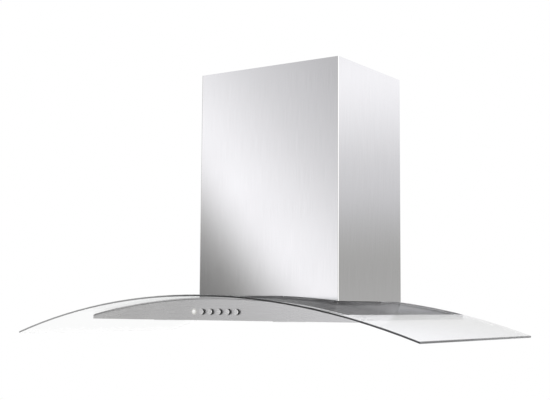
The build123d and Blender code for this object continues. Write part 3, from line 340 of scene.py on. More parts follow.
def sum_up(tree, operation, first, second=0.0):
    """One step of arithmetic on two values, clamped to 0 to 1."""
    step = tree.nodes.new("ShaderNodeMath")
    step.operation = operation
    step.use_clamp = True
    tree.links.new(first, step.inputs[0])
    if isinstance(second, float):
        step.inputs[1].default_value = second
    else:
        tree.links.new(second, step.inputs[1])
    return step.outputs["Value"]


# the edges are where the surface stands upright
edge = share(glass_tree, sum_up(glass_tree, "ABSOLUTE", facing.outputs["Z"]), *edge_upright)
inside = glass_tree.nodes.new("ShaderNodeNewGeometry").outputs["Backfacing"]
off_centre = sum_up(glass_tree, "ABSOLUTE", spot.outputs["X"])
over_body = share(glass_tree, off_centre, body_half, body_half - border)
# painted shade: the back edge is painted black from inside too, where the rubber's lip closes it against the
# wall
at_wall = share(glass_tree, spot.outputs["Y"], -2 * border, -border)
painted_black_back = sum_up(glass_tree, "MULTIPLY", over_body, at_wall)
clear_inside = sum_up(glass_tree, "SUBTRACT", inside, painted_black_back)
# painted shade: the edges seen from outside get a near black colour and full alpha
painted_dark_edge = sum_up(glass_tree, "SUBTRACT", edge, clear_inside)
# the grinding leaves the edges a little rough
edge_grinding = sum_up(glass_tree, "MULTIPLY", edge, edge_rough)
glass_rough = sum_up(glass_tree, "ADD", glass_smears, edge_grinding)
glass_tree.links.new(glass_rough, glass_shader.inputs["Roughness"])
# painted light: the front edge is painted lighter on the left, for the daylight that enters at the left end,
# and the right end's edge a little lighter too
front_edge_painted_grey = between(
    glass_tree, spot.outputs["X"], front_edge_painted_light, front_edge_painted_shade, front_edge_painted_light_end, front_edge_painted_shade_start
)
end_edge_painted_grey = between(glass_tree, facing.outputs["X"], 0, end_edge_painted_light, *end_upright)
edge_painted_grey = sum_up(glass_tree, "ADD", front_edge_painted_grey, end_edge_painted_grey)
glass_colour = blend_colours(glass_tree, painted_dark_edge, white, edge_painted_grey)
glass_tree.links.new(glass_colour, glass_shader.inputs["Base Color"])
# the sheet's middle, from the front edge to the wall: overhang, rubber before the chimney, rubber beside it
on_rubber = share(glass_tree, spot.outputs["Y"], body_front, body_front + border)
beside = share(glass_tree, spot.outputs["Y"], chimney_front - chimney_reach, chimney_front + chimney_reach)
rubber_part = between(glass_tree, on_rubber, overhang_share, rubber_share, 0, 1)
beside_part = between(glass_tree, beside, 0, beside_share - rubber_share, 0, 1)
middle_share = sum_up(glass_tree, "MULTIPLY", over_body, sum_up(glass_tree, "ADD", rubber_part, beside_part))
# its free ends mirror and bend the light that falls on them from above, and are clear from below
end_side = between(glass_tree, facing.outputs["Z"], below_share, above_share, *over_or_under)
off_body = share(glass_tree, off_centre, body_half - border, body_half)
end_share = sum_up(glass_tree, "MULTIPLY", off_body, end_side)
flat_share = sum_up(glass_tree, "SUBTRACT", sum_up(glass_tree, "MAXIMUM", end_share, middle_share), edge)
glass_tree.links.new(sum_up(glass_tree, "MAXIMUM", painted_dark_edge, flat_share), glass_shader.inputs["Alpha"])
glass_body = glass_tree.nodes.new("ShaderNodeVolumeAbsorption")
glass_body.inputs["Color"].default_value = glass_tint
glass_body.inputs["Density"].default_value = glass_density
glass_tree.links.new(glass_body.outputs["Volume"], glass_tree.nodes["Material Output"].inputs["Volume"])
wear(glass, "glass_canopy")

# ---------------------------------------------------------------- gasket
# A 3 mm black rubber sheet, cut a little smaller than the steel body, keeps the glass off the steel, and a
# small lip of it closes the joint along the wall. The motor's grommets are of the same rubber.
rubber_black = (0.016, 0.016, 0.016, 1)
rubber_bloom_grey = (0.030, 0.030, 0.031, 1)
rubber_gloss = 0.26
bloom_size = 0.02
rubber_grain = 0.0006
rubber_grain_depth = 0.00003


def relief(tree, shader, height, depth):
    """Press a height pattern into the surface, depth in metres."""
    bump = tree.nodes.new("ShaderNodeBump")
    bump.inputs["Strength"].default_value = 1
    bump.inputs["Distance"].default_value = depth
    tree.links.new(height, bump.inputs["Height"])
    tree.links.new(bump.outputs["Normal"], shader.inputs["Normal"])


rubber, rubber_tree, rubber_shader = finish("black_rubber")
rubber_bloom = share(rubber_tree, grain(rubber_tree, bloom_size, detail=5), 0.35, 0.75)
rubber_colour = blend_colours(rubber_tree, rubber_bloom, rubber_black, rubber_bloom_grey)
rubber_shader.inputs["Specular IOR Level"].default_value = rubber_gloss
rubber_tree.links.new(rubber_colour, rubber_shader.inputs["Base Color"])
rubber_rough = between(rubber_tree, rubber_bloom, 0.62, 0.8, 0, 1)
rubber_tree.links.new(rubber_rough, rubber_shader.inputs["Roughness"])
relief(rubber_tree, rubber_shader, grain(rubber_tree, rubber_grain), rubber_grain_depth)
wear(rubber, "motor_grommets")

# its upper face lies a little lower here, so that the facets of both arcs stay clear of each other
glass_radius = 1.4
gasket_play = 0.0004
half_gasket = 0.0015
gasket_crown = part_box("glass_gasket")[1].z
pressed_sheet = hood["glass_gasket"].data.copy()
for point in pressed_sheet.vertices:
    sag = glass_radius - math.sqrt(glass_radius**2 - point.co.x**2)
    if point.co.z > gasket_crown - half_gasket - sag:
        point.co.z -= gasket_play
pressed_sheet.materials.clear()
pressed_sheet.materials.append(rubber)
gasket = bpy.data.objects.new("gasket_sheet", pressed_sheet)
bpy.context.scene.collection.objects.link(gasket)
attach(gasket, "hood")
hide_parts("glass_gasket")


def mesh_from(name, points, faces, material, smooth=False):
    """A new piece from its points and faces."""
    mesh = bpy.data.meshes.new(name)
    mesh.from_pydata(points, [], faces)
    mesh.materials.append(material)
    for face in mesh.polygons:
        face.use_smooth = smooth
    mesh.update()
    piece = bpy.data.objects.new(name, mesh)
    bpy.context.scene.collection.objects.link(piece)
    return piece


strip_steps = 120
gasket_lip_inset = 0.002                     # at both ends, as the rubber sheet's
gasket_lip_depths = (-0.0016, -0.0004)       # from the wall
gasket_lip_foot = -0.0016                    # from the glass's underside
gasket_lip_rim = 0.00025


def arched_strip(name, reach, depths, heights, material):
    """A strip along the arc of the glass. heights gives its foot and rim at x, from the glass's underside."""
    points = []
    faces = []
    for step in range(strip_steps + 1):
        x = (2 * step / strip_steps - 1) * reach
        underside = gasket_crown - glass_radius + math.sqrt(glass_radius**2 - x**2)
        foot, rim = heights(x)
        for y in depths:
            points.append((x, y, underside + foot))
            points.append((x, y, underside + rim))
        if step:
            here = 4 * step
            before = here - 4
            for first, second in ((0, 1), (1, 3), (3, 2), (2, 0)):
                faces.append((before + first, before + second, here + second, here + first))
    faces.append((0, 2, 3, 1))
    faces.append(tuple(4 * strip_steps + corner for corner in (0, 1, 3, 2)))
    return mesh_from(name, points, faces, material)


def gasket_lip_heights(x):
    """The lip keeps one height: it grips the last of the glass's underside."""
    return gasket_lip_foot, gasket_lip_rim


# its back edge is turned up against the wall and closes the joint under the glass
gasket_lip_reach = body_half - gasket_lip_inset
gasket_lip = arched_strip("gasket_lip", gasket_lip_reach, gasket_lip_depths, gasket_lip_heights, rubber)
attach(gasket_lip, "hood")

# ---------------------------------------------------------------- steel body
# Tray, arched top plate and front panel, folded from 1 mm stainless sheet with a fine brushed grain that
# runs across the hood, and spot-welded along their folds. Low lips on the panel's and the tray's upper edges
# narrow the joint to the glass.
steel_light = (0.675, 0.67, 0.665, 1)
steel_dark = (0.63, 0.625, 0.62, 1)
grain_size = 0.0007
grain_length = 90
grain_depth = 0.0000015
cloud_size = 0.13
line_weight = 0.6                            # of the grain's lines against the clouds in the roughness
smoothest, roughest = 0.85, 1.15             # shares of the mean roughness


def brushed_steel(name, roughness, run, light=steel_light, dark=steel_dark):
    """Brushed stainless sheet. run is how far the grain is drawn out along each axis."""
    material, tree, shader = finish(name)
    shader.inputs["Metallic"].default_value = 1
    lines = grain(tree, grain_size, run, detail=3)
    clouds = grain(tree, cloud_size, detail=3)
    tint = blend_colours(tree, share(tree, lines, 0.25, 0.75), dark, light)
    tree.links.new(tint, shader.inputs["Base Color"])
    both = tree.nodes.new("ShaderNodeMath")
    both.operation = "MULTIPLY_ADD"
    both.inputs[1].default_value = line_weight
    tree.links.new(lines, both.inputs[0])
    tree.links.new(clouds, both.inputs[2])
    rough = between(tree, both.outputs["Value"], roughness * smoothest, roughness * roughest, 0.5, 1.1)
    tree.links.new(rough, shader.inputs["Roughness"])
    relief(tree, shader, lines, grain_depth)
    return material


across = (grain_length, 1, 1)
upright = (1, 1, grain_length)
panel_steel = brushed_steel("brushed_steel_body", roughness=0.27, run=across)
# painted shade: the top plate's steel is given a far darker colour than the rest of the body, for the dark
# seen on it through the glass
top_steel_painted_shade = brushed_steel(
    "brushed_steel_top_painted_shade", roughness=0.3, run=across, light=(0.20, 0.20, 0.20, 1), dark=(0.17, 0.17, 0.17, 1)
)
wear(top_steel_painted_shade, "canopy_top_plate")

# painted shade: the tray's folded ends are painted darker than the rest, as the body's right end is in the
# picture
end_painted_shade = (0.30, 0.30, 0.30, 1)
end_sheet = (0.003, 0.002)                   # their sheet starts between these depths from the end
sideways_from = (0.8, 0.95)                  # and their normal's x rises through this
panel_tree = panel_steel.node_tree
panel_place = panel_tree.nodes.new("ShaderNodeTexCoord")
panel_spot = panel_tree.nodes.new("ShaderNodeSeparateXYZ")
panel_facing = panel_tree.nodes.new("ShaderNodeSeparateXYZ")
panel_tree.links.new(panel_place.outputs["Object"], panel_spot.inputs["Vector"])
panel_tree.links.new(panel_place.outputs["Normal"], panel_facing.inputs["Vector"])
panel_off_centre = sum_up(panel_tree, "ABSOLUTE", panel_spot.outputs["X"])
last_sheet = share(panel_tree, panel_off_centre, body_half - end_sheet[0], body_half - end_sheet[1])
panel_turned = sum_up(panel_tree, "ABSOLUTE", panel_facing.outputs["X"])
sideways = share(panel_tree, panel_turned, *sideways_from)
# painted shade mask: the sideways faces of the end sheets
painted_shade_end = sum_up(panel_tree, "MULTIPLY", last_sheet, sideways)
panel_colour = panel_tree.nodes["Principled BSDF"].inputs["Base Color"]
panel_tint = panel_colour.links[0].from_socket
panel_tree.links.new(blend_colours(panel_tree, painted_shade_end, panel_tint, end_painted_shade), panel_colour)
wear(panel_steel, "canopy_tray", "front_panel")

# the panel's upper edge is turned up to the glass in the middle and runs out towards both ends
lip_full = 0.0022
lip_least = 0.0008
lip_reach = 0.19                             # the lip keeps its full height this far from the centre line
lip_thickness = 0.001
panel_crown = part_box("front_panel")[1].z
panel_drop = panel_crown - gasket_crown


def panel_lip_heights(x):
    """Full height in the middle, least height at the ends, with a smooth run-out between them."""
    fall = max(0, (abs(x) - lip_reach) / (body_half - lip_reach))
    height = lip_full - (lip_full - lip_least) * fall * fall * (3 - 2 * fall)
    return panel_drop - lip_least, panel_drop + height


lip_depths = (body_front, body_front + lip_thickness)
panel_lip = arched_strip("front_panel_lip", body_half, lip_depths, panel_lip_heights, panel_steel)
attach(panel_lip, "hood")

# the tray's ends are turned up in the same way, over their whole depth
end_foot = panel_crown - glass_radius + math.sqrt(glass_radius**2 - body_half**2)
for side_name, outer, inner in (
    ("left", -body_half, lip_thickness - body_half),
    ("right", body_half, body_half - lip_thickness),
):
    end_points = [
        (x, y, z)
        for x in (outer, inner)
        for y in (body_front + lip_thickness, 0)
        for z in (end_foot - lip_least, end_foot + lip_full)
    ]
    end_faces = [(0, 1, 3, 2), (4, 6, 7, 5), (0, 4, 5, 1), (2, 3, 7, 6), (0, 2, 6, 4), (1, 5, 7, 3)]
    end_lip = mesh_from(f"tray_lip_{side_name}", end_points, end_faces, panel_steel)
    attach(end_lip, "hood")

# ---------------------------------------------------------------- clamp bolts, nuts and screws
# Bright zinc-plated steel, straight from the bag: clamp bolts and nuts of the glass, pan head screws of the
# sheet metal, the impeller's nut and the pin of the outlet flaps.
zinc_light = (0.76, 0.765, 0.78, 1)
zinc_yellowish = (0.66, 0.655, 0.63, 1)
zinc_cloud_size = 0.004
zinc_grain = 0.0004
zinc_grain_depth = 0.00001
zinc, zinc_tree, zinc_shader = finish("zinc_plate")
zinc_shader.inputs["Metallic"].default_value = 1
zinc_clouds = grain(zinc_tree, zinc_cloud_size, detail=4)
zinc_colour = blend_colours(zinc_tree, share(zinc_tree, zinc_clouds, 0.3, 0.7), zinc_yellowish, zinc_light)
zinc_tree.links.new(zinc_colour, zinc_shader.inputs["Base Color"])
zinc_tree.links.new(between(zinc_tree, zinc_clouds, 0.28, 0.44), zinc_shader.inputs["Roughness"])
relief(zinc_tree, zinc_shader, grain(zinc_tree, zinc_grain), zinc_grain_depth)
wear(
    zinc,
    "glass_clamp_bolts",
    "glass_clamp_nuts",
    "chimney_bracket_screws",
    "chimney_lower_screws",
    "chassis_screws",
    "blower_casing_screws",
    "motor_screws",
    "impeller_nut",
    "flap_pin",
)

# ---------------------------------------------------------------- chimney
# Two folded sleeves of brushed stainless, with the grain upright. The upper one slides inside the lower one;
# screws hold the lower one to the chassis and the upper one to its bracket on the wall.
chimney_steel = brushed_steel(
    "brushed_steel_chimney",
    roughness=0.10,
    run=upright,
    light=(0.69, 0.685, 0.68, 1),
    dark=(0.645, 0.64, 0.635, 1),
)
wear(chimney_steel, "chimney_lower", "chimney_upper")

# ---------------------------------------------------------------- hot-dip galvanised sheet
# Everything that hangs on the wall or stands in the chimney out of sight: wall rail, chimney bracket, motor
# chassis with its service cover, blower casings and the motor's spider. The zinc has frozen in flat crystals.
spangle_size = 0.011
spangle_dark = (0.50, 0.51, 0.52, 1)
spangle_light = (0.69, 0.70, 0.71, 1)
dross_size = 0.0008
dross_depth = 0.00002
galvanised, galvanised_tree, galvanised_shader = finish("galvanised_sheet")
galvanised_shader.inputs["Metallic"].default_value = 1


def crystals(tree, size):
    """A random grey for each crystal of this size."""
    place = tree.nodes.new("ShaderNodeTexCoord")
    cells = tree.nodes.new("ShaderNodeTexVoronoi")
    cells.inputs["Scale"].default_value = 1 / size
    tree.links.new(place.outputs["Object"], cells.inputs["Vector"])
    split = tree.nodes.new("ShaderNodeSeparateColor")
    tree.links.new(cells.outputs["Color"], split.inputs["Color"])
    return split.outputs["Red"]


spangle = crystals(galvanised_tree, spangle_size)
spangle_colour = blend_colours(galvanised_tree, spangle, spangle_dark, spangle_light)
galvanised_tree.links.new(spangle_colour, galvanised_shader.inputs["Base Color"])
spangle_rough = between(galvanised_tree, spangle, 0.34, 0.52, 0, 1)
galvanised_tree.links.new(spangle_rough, galvanised_shader.inputs["Roughness"])
relief(galvanised_tree, galvanised_shader, grain(galvanised_tree, dross_size, detail=3), dross_depth)
wear(
    galvanised,
    "chimney_bracket",
    "wall_rail",
    "motor_chassis",
    "chassis_cover",
    "blower_casing_left",
    "blower_casing_right",
    "motor_spider",
)

# ---------------------------------------------------------------- mouldings
# Injection-moulded plastic with a spark-eroded grain: impeller, outlet collar with its two flaps, connection
# box with lid and cable gland, lamp transformer, switch block, and the run capacitor's white can.
flow_size = 0.03
mould_grain = 0.0005
mould_depth = 0.00002
glossier = 0.05                              # how far the roughness strays to either side
duller = 0.06


def moulded_plastic(name, dark, light, roughness):
    """Plastic between two close shades, with flow clouds and a fine moulded grain."""
    material, tree, shader = finish(name)
    clouds = grain(tree, flow_size, detail=3)
    colour = blend_colours(tree, share(tree, clouds, 0.3, 0.7), dark, light)
    tree.links.new(colour, shader.inputs["Base Color"])
    rough = between(tree, clouds, roughness - glossier, roughness + duller)
    tree.links.new(rough, shader.inputs["Roughness"])
    relief(tree, shader, grain(tree, mould_grain), mould_depth)
    return material


impeller_plastic = moulded_plastic(
    "impeller_plastic", dark=(0.020, 0.020, 0.021, 1), light=(0.034, 0.034, 0.035, 1), roughness=0.42
)
wear(impeller_plastic, "impeller")
black_plastic = moulded_plastic(
    "black_plastic", dark=(0.016, 0.016, 0.017, 1), light=(0.030, 0.030, 0.031, 1), roughness=0.5
)
wear(
    black_plastic,
    "outlet_collar",
    "flap_front",
    "flap_rear",
    "connection_box",
    "connection_box_lid",
    "cable_gland",
    "lamp_transformer",
    "switch_housing",
)
white_plastic = moulded_plastic(
    "capacitor_plastic", dark=(0.66, 0.655, 0.63, 1), light=(0.74, 0.735, 0.71, 1), roughness=0.38
)
wear(white_plastic, "run_capacitor")

# ---------------------------------------------------------------- motor
# Outside, a deep-drawn can under black paint and a die-cast end cap. Inside, stator and rotor stacked from
# half-millimetre iron stampings, enamelled copper windings, and a ground shaft in two sintered bronze bushes.
paint_dark = (0.018, 0.018, 0.020, 1)
paint_light = (0.032, 0.032, 0.034, 1)
peel_size = 0.0022
peel_depth = 0.00005
can_cloud_size = 0.02
can_paint, can_tree, can_shader = finish("motor_can_paint")
can_peel = grain(can_tree, peel_size)
can_colour = blend_colours(can_tree, can_peel, paint_dark, paint_light)
can_tree.links.new(can_colour, can_shader.inputs["Base Color"])
can_rough = between(can_tree, grain(can_tree, can_cloud_size, detail=3), 0.26, 0.38)
can_tree.links.new(can_rough, can_shader.inputs["Roughness"])
relief(can_tree, can_shader, can_peel, peel_depth)
wear(can_paint, "motor_can")


def bare_metal(name, dark, light, size, rough, depth, run=(1, 1, 1)):
    """Unpainted metal with a texture of spots of this size, drawn out along some axes into lines."""
    material, tree, shader = finish(name)
    shader.inputs["Metallic"].default_value = 1
    spots = grain(tree, size, run, detail=3)
    colour = blend_colours(tree, share(tree, spots, 0.3, 0.7), dark, light)
    tree.links.new(colour, shader.inputs["Base Color"])
    tree.links.new(between(tree, spots, *rough), shader.inputs["Roughness"])
    relief(tree, shader, spots, depth)
    return material


cast = bare_metal(
    "die_cast_aluminium",
    dark=(0.50, 0.51, 0.52, 1),
    light=(0.64, 0.65, 0.66, 1),
    size=0.0015,
    rough=(0.45, 0.6),
    depth=0.00006,
)
wear(cast, "motor_endcap")
stampings = bare_metal(
    "iron_stampings",
    dark=(0.16, 0.16, 0.165, 1),
    light=(0.34, 0.34, 0.35, 1),
    size=0.0005,
    rough=(0.4, 0.6),
    depth=0.0001,
    run=(1, 60, 60),
)
wear(stampings, "motor_stator", "motor_rotor")
copper = bare_metal(
    "enamelled_copper",
    dark=(0.45, 0.17, 0.06, 1),
    light=(0.80, 0.40, 0.20, 1),
    size=0.0007,
    rough=(0.22, 0.35),
    depth=0.0002,
    run=(40, 1, 1),
)
wear(copper, "stator_windings")
bronze = bare_metal(
    "sintered_bronze",
    dark=(0.42, 0.28, 0.13, 1),
    light=(0.60, 0.44, 0.24, 1),
    size=0.0004,
    rough=(0.5, 0.62),
    depth=0.00004,
)
wear(bronze, "motor_bearings")
ground = bare_metal(
    "ground_shaft_steel",
    dark=(0.58, 0.58, 0.59, 1),
    light=(0.70, 0.70, 0.71, 1),
    size=0.0003,
    rough=(0.16, 0.26),
    depth=0.000006,
    run=(1, 40, 40),
)
wear(ground, "motor_shaft")

# ---------------------------------------------------------------- connection box screws
# Two small pan head screws in opposite corners hold the lid of the connection box. They are turned heads of
# the same zinc-plated steel, each with a round recess.


def turned_rings(name, centres, profile, material, axis="Y", steps=48):
    """Rings turned about axes along Y or Z. The profile holds (radius, place along the axis) points."""
    points = []
    faces = []
    count = len(profile)
    for centre in centres:
        start = len(points)
        for step in range(steps):
            angle = 2 * math.pi * step / steps
            for radius, place in profile:
                first = centre[0] + radius * math.cos(angle)
                second = centre[1] + radius * math.sin(angle)
                points.append((first, place, second) if axis == "Y" else (first, second, place))
            here = start + step * count
            there = start + (step + 1) % steps * count
            for number in range(count):
                beside = (number + 1) % count
                faces.append((here + number, here + beside, there + beside, there + number))
    return mesh_from(name, points, faces, material, smooth=True)


lid_low, lid_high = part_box("connection_box_lid")
lid_screw_inset = 0.005
lid_screw_top = lid_high.z + 0.0018
lid_screw_head = [
    (0.0030, lid_high.z),
    (0.0030, lid_high.z + 0.0008),
    (0.0025, lid_high.z + 0.0015),
    (0.0016, lid_screw_top),
    (0.0009, lid_screw_top),
    (0.0007, lid_high.z + 0.0004),
]
lid_screws = turned_rings(
    "connection_box_screws",
    [
        (lid_low.x + lid_screw_inset, lid_low.y + lid_screw_inset),
        (lid_high.x - lid_screw_inset, lid_high.y - lid_screw_inset),
    ],
    lid_screw_head,
    zinc,
    axis="Z",
    steps=24,
)
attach(lid_screws, "hood")

# ---------------------------------------------------------------- grease filters
# Two cassettes: a rolled aluminium C-frame round a pack of expanded aluminium mesh, coarse skins outside and
# finer layers between them. Four rivets hold each frame's corners.
filter_aluminium = bare_metal(
    "filter_frame_aluminium",
    dark=(0.60, 0.605, 0.61, 1),
    light=(0.72, 0.725, 0.73, 1),
    size=0.0006,
    rough=(0.28, 0.4),
    depth=0.000008,
    run=(1, 70, 1),
)
wear(filter_aluminium, "filter_frame_left", "filter_frame_right")
mesh_aluminium = bare_metal(
    "filter_mesh_aluminium",
    dark=(0.56, 0.565, 0.57, 1),
    light=(0.72, 0.725, 0.73, 1),
    size=0.003,
    rough=(0.3, 0.48),
    depth=0.00001,
)
# one row for each layer: height in the cassette, diamond's long and short way, strand's width and sheet
mesh_layers = [
    (0.0021, 0.012, 0.006, 0.0011, 0.00035),
    (0.0041, 0.010, 0.005, 0.0010, 0.00025),
    (0.0059, 0.010, 0.005, 0.0010, 0.00025),
    (0.0079, 0.012, 0.006, 0.0011, 0.00035),
]
strand_tilt = math.radians(38)
pocket_width = 0.069
pocket_depth = 0.0295


def expanded_layer(points, faces, low, high, layer, latch_x):
    """Slit and stretched sheet: each strand zigzags across and meets its neighbours at the bonds."""
    height, long_way, short_way, width, sheet = layer
    across_y, across_z = width / 2 * math.cos(strand_tilt), width / 2 * math.sin(strand_tilt)
    thick_y, thick_z = -sheet / 2 * math.sin(strand_tilt), sheet / 2 * math.cos(strand_tilt)
    section = [
        (-across_y - thick_y, -across_z - thick_z),
        (across_y - thick_y, across_z - thick_z),
        (across_y + thick_y, across_z + thick_z),
        (-across_y + thick_y, -across_z + thick_z),
    ]
    columns = round((high.x - low.x) / (long_way / 2))
    rows = round((high.y - low.y) / (short_way / 2)) - 1
    step_x = (high.x - low.x) / columns
    step_y = (high.y - low.y) / (rows + 1)
    for row in range(rows):
        ring_before = None
        for column in range(columns + 1):
            x = low.x + column * step_x
            up = (row + column) % 2
            y = low.y + (row + up) * step_y + (across_y if up == 0 else -across_y)
            lift = across_z if up == 0 else -across_z
            in_pocket = y < low.y + pocket_depth and abs(x - latch_x) < pocket_width / 2
            if in_pocket:
                ring_before = None
                continue
            ring = range(len(points), len(points) + 4)
            points.extend((x, y + dy, height + lift + dz) for dy, dz in section)
            if ring_before is None:
                faces.append(tuple(ring))
            else:
                for side in range(4):
                    turn = (side + 1) % 4
                    faces.append((ring_before[side], ring_before[turn], ring[turn], ring[side]))
            ring_before = ring


for side_name in ("left", "right"):
    low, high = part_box(f"filter_mesh_{side_name}")
    mesh_points = []
    mesh_faces = []
    for layer in mesh_layers:
        expanded_layer(mesh_points, mesh_faces, low, high, layer, (low.x + high.x) / 2)
    pack = mesh_from(f"mesh_pack_{side_name}", mesh_points, mesh_faces, mesh_aluminium)
    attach(pack, f"filter_{side_name}")
    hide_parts(f"filter_mesh_{side_name}")

# two blind rivets in front and two behind, in the frame's corners
rivet_inset = 0.0055
rivet_rear = 0.0130                          # behind, the frame ends in front of its hinge tabs
rivet_head = [
    (0.0026, 0),
    (0.0024, -0.0004),
    (0.0017, -0.0008),
    (0.0011, -0.0008),
    (0.0008, -0.0005),
    (0.0008, 0),
]
for side_name in ("left", "right"):
    low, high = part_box(f"filter_frame_{side_name}")
    rivet_places = [
        (x, y)
        for x in (low.x + rivet_inset, high.x - rivet_inset)
        for y in (low.y + rivet_inset, high.y - rivet_rear)
    ]
    rivets = turned_rings(
        f"filter_rivets_{side_name}", rivet_places, rivet_head, filter_aluminium, axis="Z", steps=24
    )
    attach(rivets, f"filter_{side_name}")

# ---------------------------------------------------------------- filter latches and their springs
# A grey plastic slide in the front of each cassette, pushed forward into the tray's rim by two small
# compression springs of zinc-plated wire. The finger pulls the rib back to let the filter down.
latch_plastic = moulded_plastic(
    "latch_plastic", dark=(0.085, 0.087, 0.09, 1), light=(0.105, 0.107, 0.11, 1), roughness=0.28
)
wear(latch_plastic, "filter_latch_left", "filter_latch_right")
wire_sides = 8
ring_steps = 18


def coil_spring(name, start, end, centre, radius, wire, turns):
    """A compression spring along Y, from start to end, with closed end coils."""
    points = []
    faces = []
    steps = turns * ring_steps
    free = start + wire
    last = end - wire
    for step in range(steps + 1):
        turn = step / ring_steps
        if turn < 1:
            y = start + (free - start) * turn
        elif turn > turns - 1:
            y = end - (end - last) * (turns - turn)
        else:
            y = free + (last - free) * (turn - 1) / (turns - 2)
        y = max(min(y, end - wire / 2), start + wire / 2)
        angle = 2 * math.pi * turn
        for side in range(wire_sides):
            swing = 2 * math.pi * side / wire_sides
            reach = radius - wire / 2 + wire / 2 * math.cos(swing)
            points.append(
                (
                    centre[0] + reach * math.cos(angle),
                    y + wire / 2 * math.sin(swing),
                    centre[1] + reach * math.sin(angle),
                )
            )
        if step:
            for side in range(wire_sides):
                turn_side = (side + 1) % wire_sides
                before = (step - 1) * wire_sides
                here = step * wire_sides
                faces.append((before + side, before + turn_side, here + turn_side, here + side))
    faces.append(tuple(range(wire_sides)))
    faces.append(tuple(reversed(range(steps * wire_sides, (steps + 1) * wire_sides))))
    return mesh_from(name, points, faces, zinc, smooth=True)


spring_wire = 0.0005
latch_spring_turns = 8
for side_name in ("left", "right"):
    low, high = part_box(f"latch_springs_{side_name}")
    spring_radius = (high.z - low.z) / 2
    for number, x in enumerate((low.x + spring_radius, high.x - spring_radius), 1):
        spring = coil_spring(
            f"latch_spring_{side_name}_{number}",
            low.y,
            high.y,
            (x, (low.z + high.z) / 2),
            spring_radius,
            spring_wire,
            latch_spring_turns,
        )
        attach(spring, f"filter_{side_name}")
        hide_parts(f"latch_springs_{side_name}")
        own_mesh(spring)

# ---------------------------------------------------------------- push buttons and pilot lamp
# Five round plastic caps with a metallised satin face and sides given a painted shade, near black, for the
# shadow on their flanks, each in a grey plastic ring whose dark grey also stands in for the shadow round the
# cap, and the pilot lamp's white lens in a white frame. Rings and frame are clipped into the panel, and each
# button has its own return spring in the switch block behind it.
button_names = ("light", "off", "speed_1", "speed_2", "speed_3")
button_metal = bare_metal(
    "satin_chrome",
    dark=(0.76, 0.755, 0.75, 1),
    light=(0.84, 0.835, 0.83, 1),
    size=0.003,
    rough=(0.2, 0.28),
    depth=0.000001,
)
# painted shade: the near black the caps' sides are painted, for the shadow on their flanks
button_side_painted_shade = (0.06, 0.06, 0.062, 1)
face_front = (-0.25, -0.6)                   # the face is where the normal's y falls through this
button_tree = button_metal.node_tree
button_place = button_tree.nodes.new("ShaderNodeTexCoord")
button_facing = button_tree.nodes.new("ShaderNodeSeparateXYZ")
button_tree.links.new(button_place.outputs["Normal"], button_facing.inputs["Vector"])
button_face = share(button_tree, button_facing.outputs["Y"], *face_front)
button_colour = button_tree.nodes["Principled BSDF"].inputs["Base Color"]
metal_colour = button_colour.links[0].from_socket
button_tree.links.new(blend_colours(button_tree, button_face, button_side_painted_shade, metal_colour), button_colour)
for button_name in button_names:
    wear(button_metal, f"button_{button_name}")

# the grey plastic rings are real parts; their dark grey also paints the shadow round each cap's side
ring_radius = 0.0060
ring_bore = 0.0054
ring_height = 0.0006
for button_name in button_names:
    cap_low, cap_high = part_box(f"button_{button_name}")
    centre = ((cap_low.x + cap_high.x) / 2, (cap_low.z + cap_high.z) / 2)
    ring_profile = [
        (ring_bore, body_front),
        (ring_radius, body_front),
        (ring_radius - ring_height / 2, body_front - ring_height),
        (ring_bore + ring_height / 3, body_front - ring_height),
        (ring_bore, body_front - ring_height * 2 / 3),
    ]
    button_ring = turned_rings(f"button_ring_{button_name}", [centre], ring_profile, latch_plastic)
    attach(button_ring, "hood")

button_spring_turns = 7
low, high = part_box("button_springs")
for button_name in button_names:
    cap_low, cap_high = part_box(f"button_{button_name}")
    centre = ((cap_low.x + cap_high.x) / 2, (low.z + high.z) / 2)
    spring_radius = (high.z - low.z) / 2
    spring = coil_spring(
        f"button_spring_{button_name}",
        low.y,
        high.y,
        centre,
        spring_radius,
        spring_wire,
        button_spring_turns,
    )
    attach(spring, "hood")
    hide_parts("button_springs")
    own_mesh(spring)

lens_dull = (0.93, 0.93, 0.92, 1)
lens_bright = (1, 1, 0.99, 1)
lens_cloud_size = 0.002
lens_plastic, lens_tree, lens_shader = finish("pilot_lens")
lens_clouds = grain(lens_tree, lens_cloud_size, detail=3)
lens_colour = blend_colours(lens_tree, lens_clouds, lens_dull, lens_bright)
lens_tree.links.new(lens_colour, lens_shader.inputs["Base Color"])
lens_tree.links.new(between(lens_tree, lens_clouds, 0.08, 0.16), lens_shader.inputs["Roughness"])
wear(lens_plastic, "indicator_lens")

lens_low, lens_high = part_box("indicator_lens")
lens_radius = (lens_high.z - lens_low.z) / 2
lens_play = 0.0001
lens_frame_radius = 0.0058
lens_frame_height = 0.0012
lens_frame_profile = [
    (lens_radius + lens_play, body_front),
    (lens_frame_radius, body_front),
    (lens_frame_radius, body_front - lens_frame_height / 3),
    (lens_frame_radius - lens_frame_height / 2, body_front - lens_frame_height),
    (lens_radius + lens_play, body_front - lens_frame_height),
]
lens_centre = ((lens_low.x + lens_high.x) / 2, (lens_low.z + lens_high.z) / 2)
lens_frame = turned_rings("indicator_frame", [lens_centre], lens_frame_profile, white_plastic)
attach(lens_frame, "hood")

# ---------------------------------------------------------------- halogen lamps
# A pressed aluminium reflector over each hole of the tray, a frosted glass lens lying on the hole's edge, and
# a clear halogen capsule. A thin pressed ring covers the hole's cut edge from below.
reflector = bare_metal(
    "pressed_reflector",
    dark=(0.70, 0.70, 0.71, 1),
    light=(0.80, 0.80, 0.81, 1),
    size=0.001,
    rough=(0.18, 0.3),
    depth=0.00001,
)
wear(reflector, "lamp_housing_left", "lamp_housing_right")

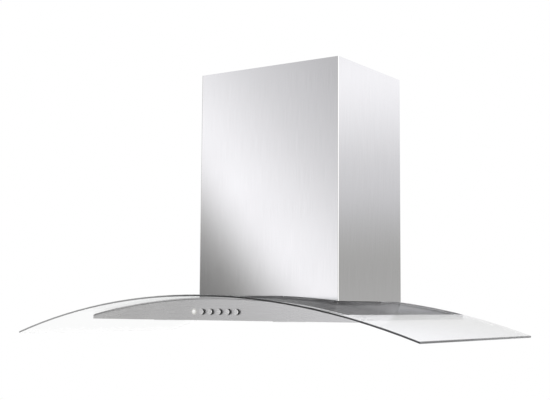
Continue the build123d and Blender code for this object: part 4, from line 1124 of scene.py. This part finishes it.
bezel_steel = bare_metal(
    "polished_bezel",
    dark=(0.66, 0.66, 0.665, 1),
    light=(0.74, 0.74, 0.745, 1),
    size=0.002,
    rough=(0.1, 0.16),
    depth=0.000004,
)
bezel_bore = 0.0255
bezel_radius = 0.0305
bezel_sheet = 0.0004
bezel_drop = 0.0012
for side_name in ("left", "right"):
    low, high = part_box(f"lamp_housing_{side_name}")
    centre = ((low.x + high.x) / 2, (low.y + high.y) / 2)
    bezel_profile = [
        (bezel_radius, 0),
        (bezel_radius - bezel_drop / 3, -bezel_drop * 2 / 3),
        (bezel_radius - bezel_drop, -bezel_drop),
        (bezel_bore + bezel_drop / 2, -bezel_drop),
        (bezel_bore, -bezel_drop / 2),
        (bezel_bore, low.z),
        (bezel_bore + bezel_sheet, low.z),
        (bezel_bore + bezel_sheet, -bezel_drop / 2),
        (bezel_bore + bezel_drop, bezel_sheet - bezel_drop),
        (bezel_radius - bezel_drop, bezel_sheet - bezel_drop),
        (bezel_radius - bezel_sheet, 0),
    ]
    bezel = turned_rings(
        f"lamp_bezel_{side_name}", [centre], bezel_profile, bezel_steel, axis="Z", steps=72
    )
    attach(bezel, "hood")

frosted_tint = (0.93, 0.95, 0.95, 1)
frosting_size = 0.0006
frosting_depth = 0.00004
frosted, frosted_tree, frosted_shader = finish("frosted_glass")
frosted_shader.inputs["Base Color"].default_value = frosted_tint
frosted_shader.inputs["IOR"].default_value = glass_index
frosted_shader.inputs["Transmission Weight"].default_value = 1
frosting = grain(frosted_tree, frosting_size, detail=3)
frosted_tree.links.new(between(frosted_tree, frosting, 0.35, 0.5), frosted_shader.inputs["Roughness"])
relief(frosted_tree, frosted_shader, frosting, frosting_depth)
wear(frosted, "lamp_lenses")

quartz_tint = (0.97, 0.97, 0.95, 1)
quartz_index = 1.46
quartz_cloud_size = 0.004
quartz, quartz_tree, quartz_shader = finish("quartz_capsule")
quartz_shader.inputs["Base Color"].default_value = quartz_tint
quartz_shader.inputs["IOR"].default_value = quartz_index
quartz_shader.inputs["Transmission Weight"].default_value = 1
quartz_rough = between(quartz_tree, grain(quartz_tree, quartz_cloud_size, detail=3), 0.0, 0.08)
quartz_tree.links.new(quartz_rough, quartz_shader.inputs["Roughness"])
wear(quartz, "lamp_bulbs")
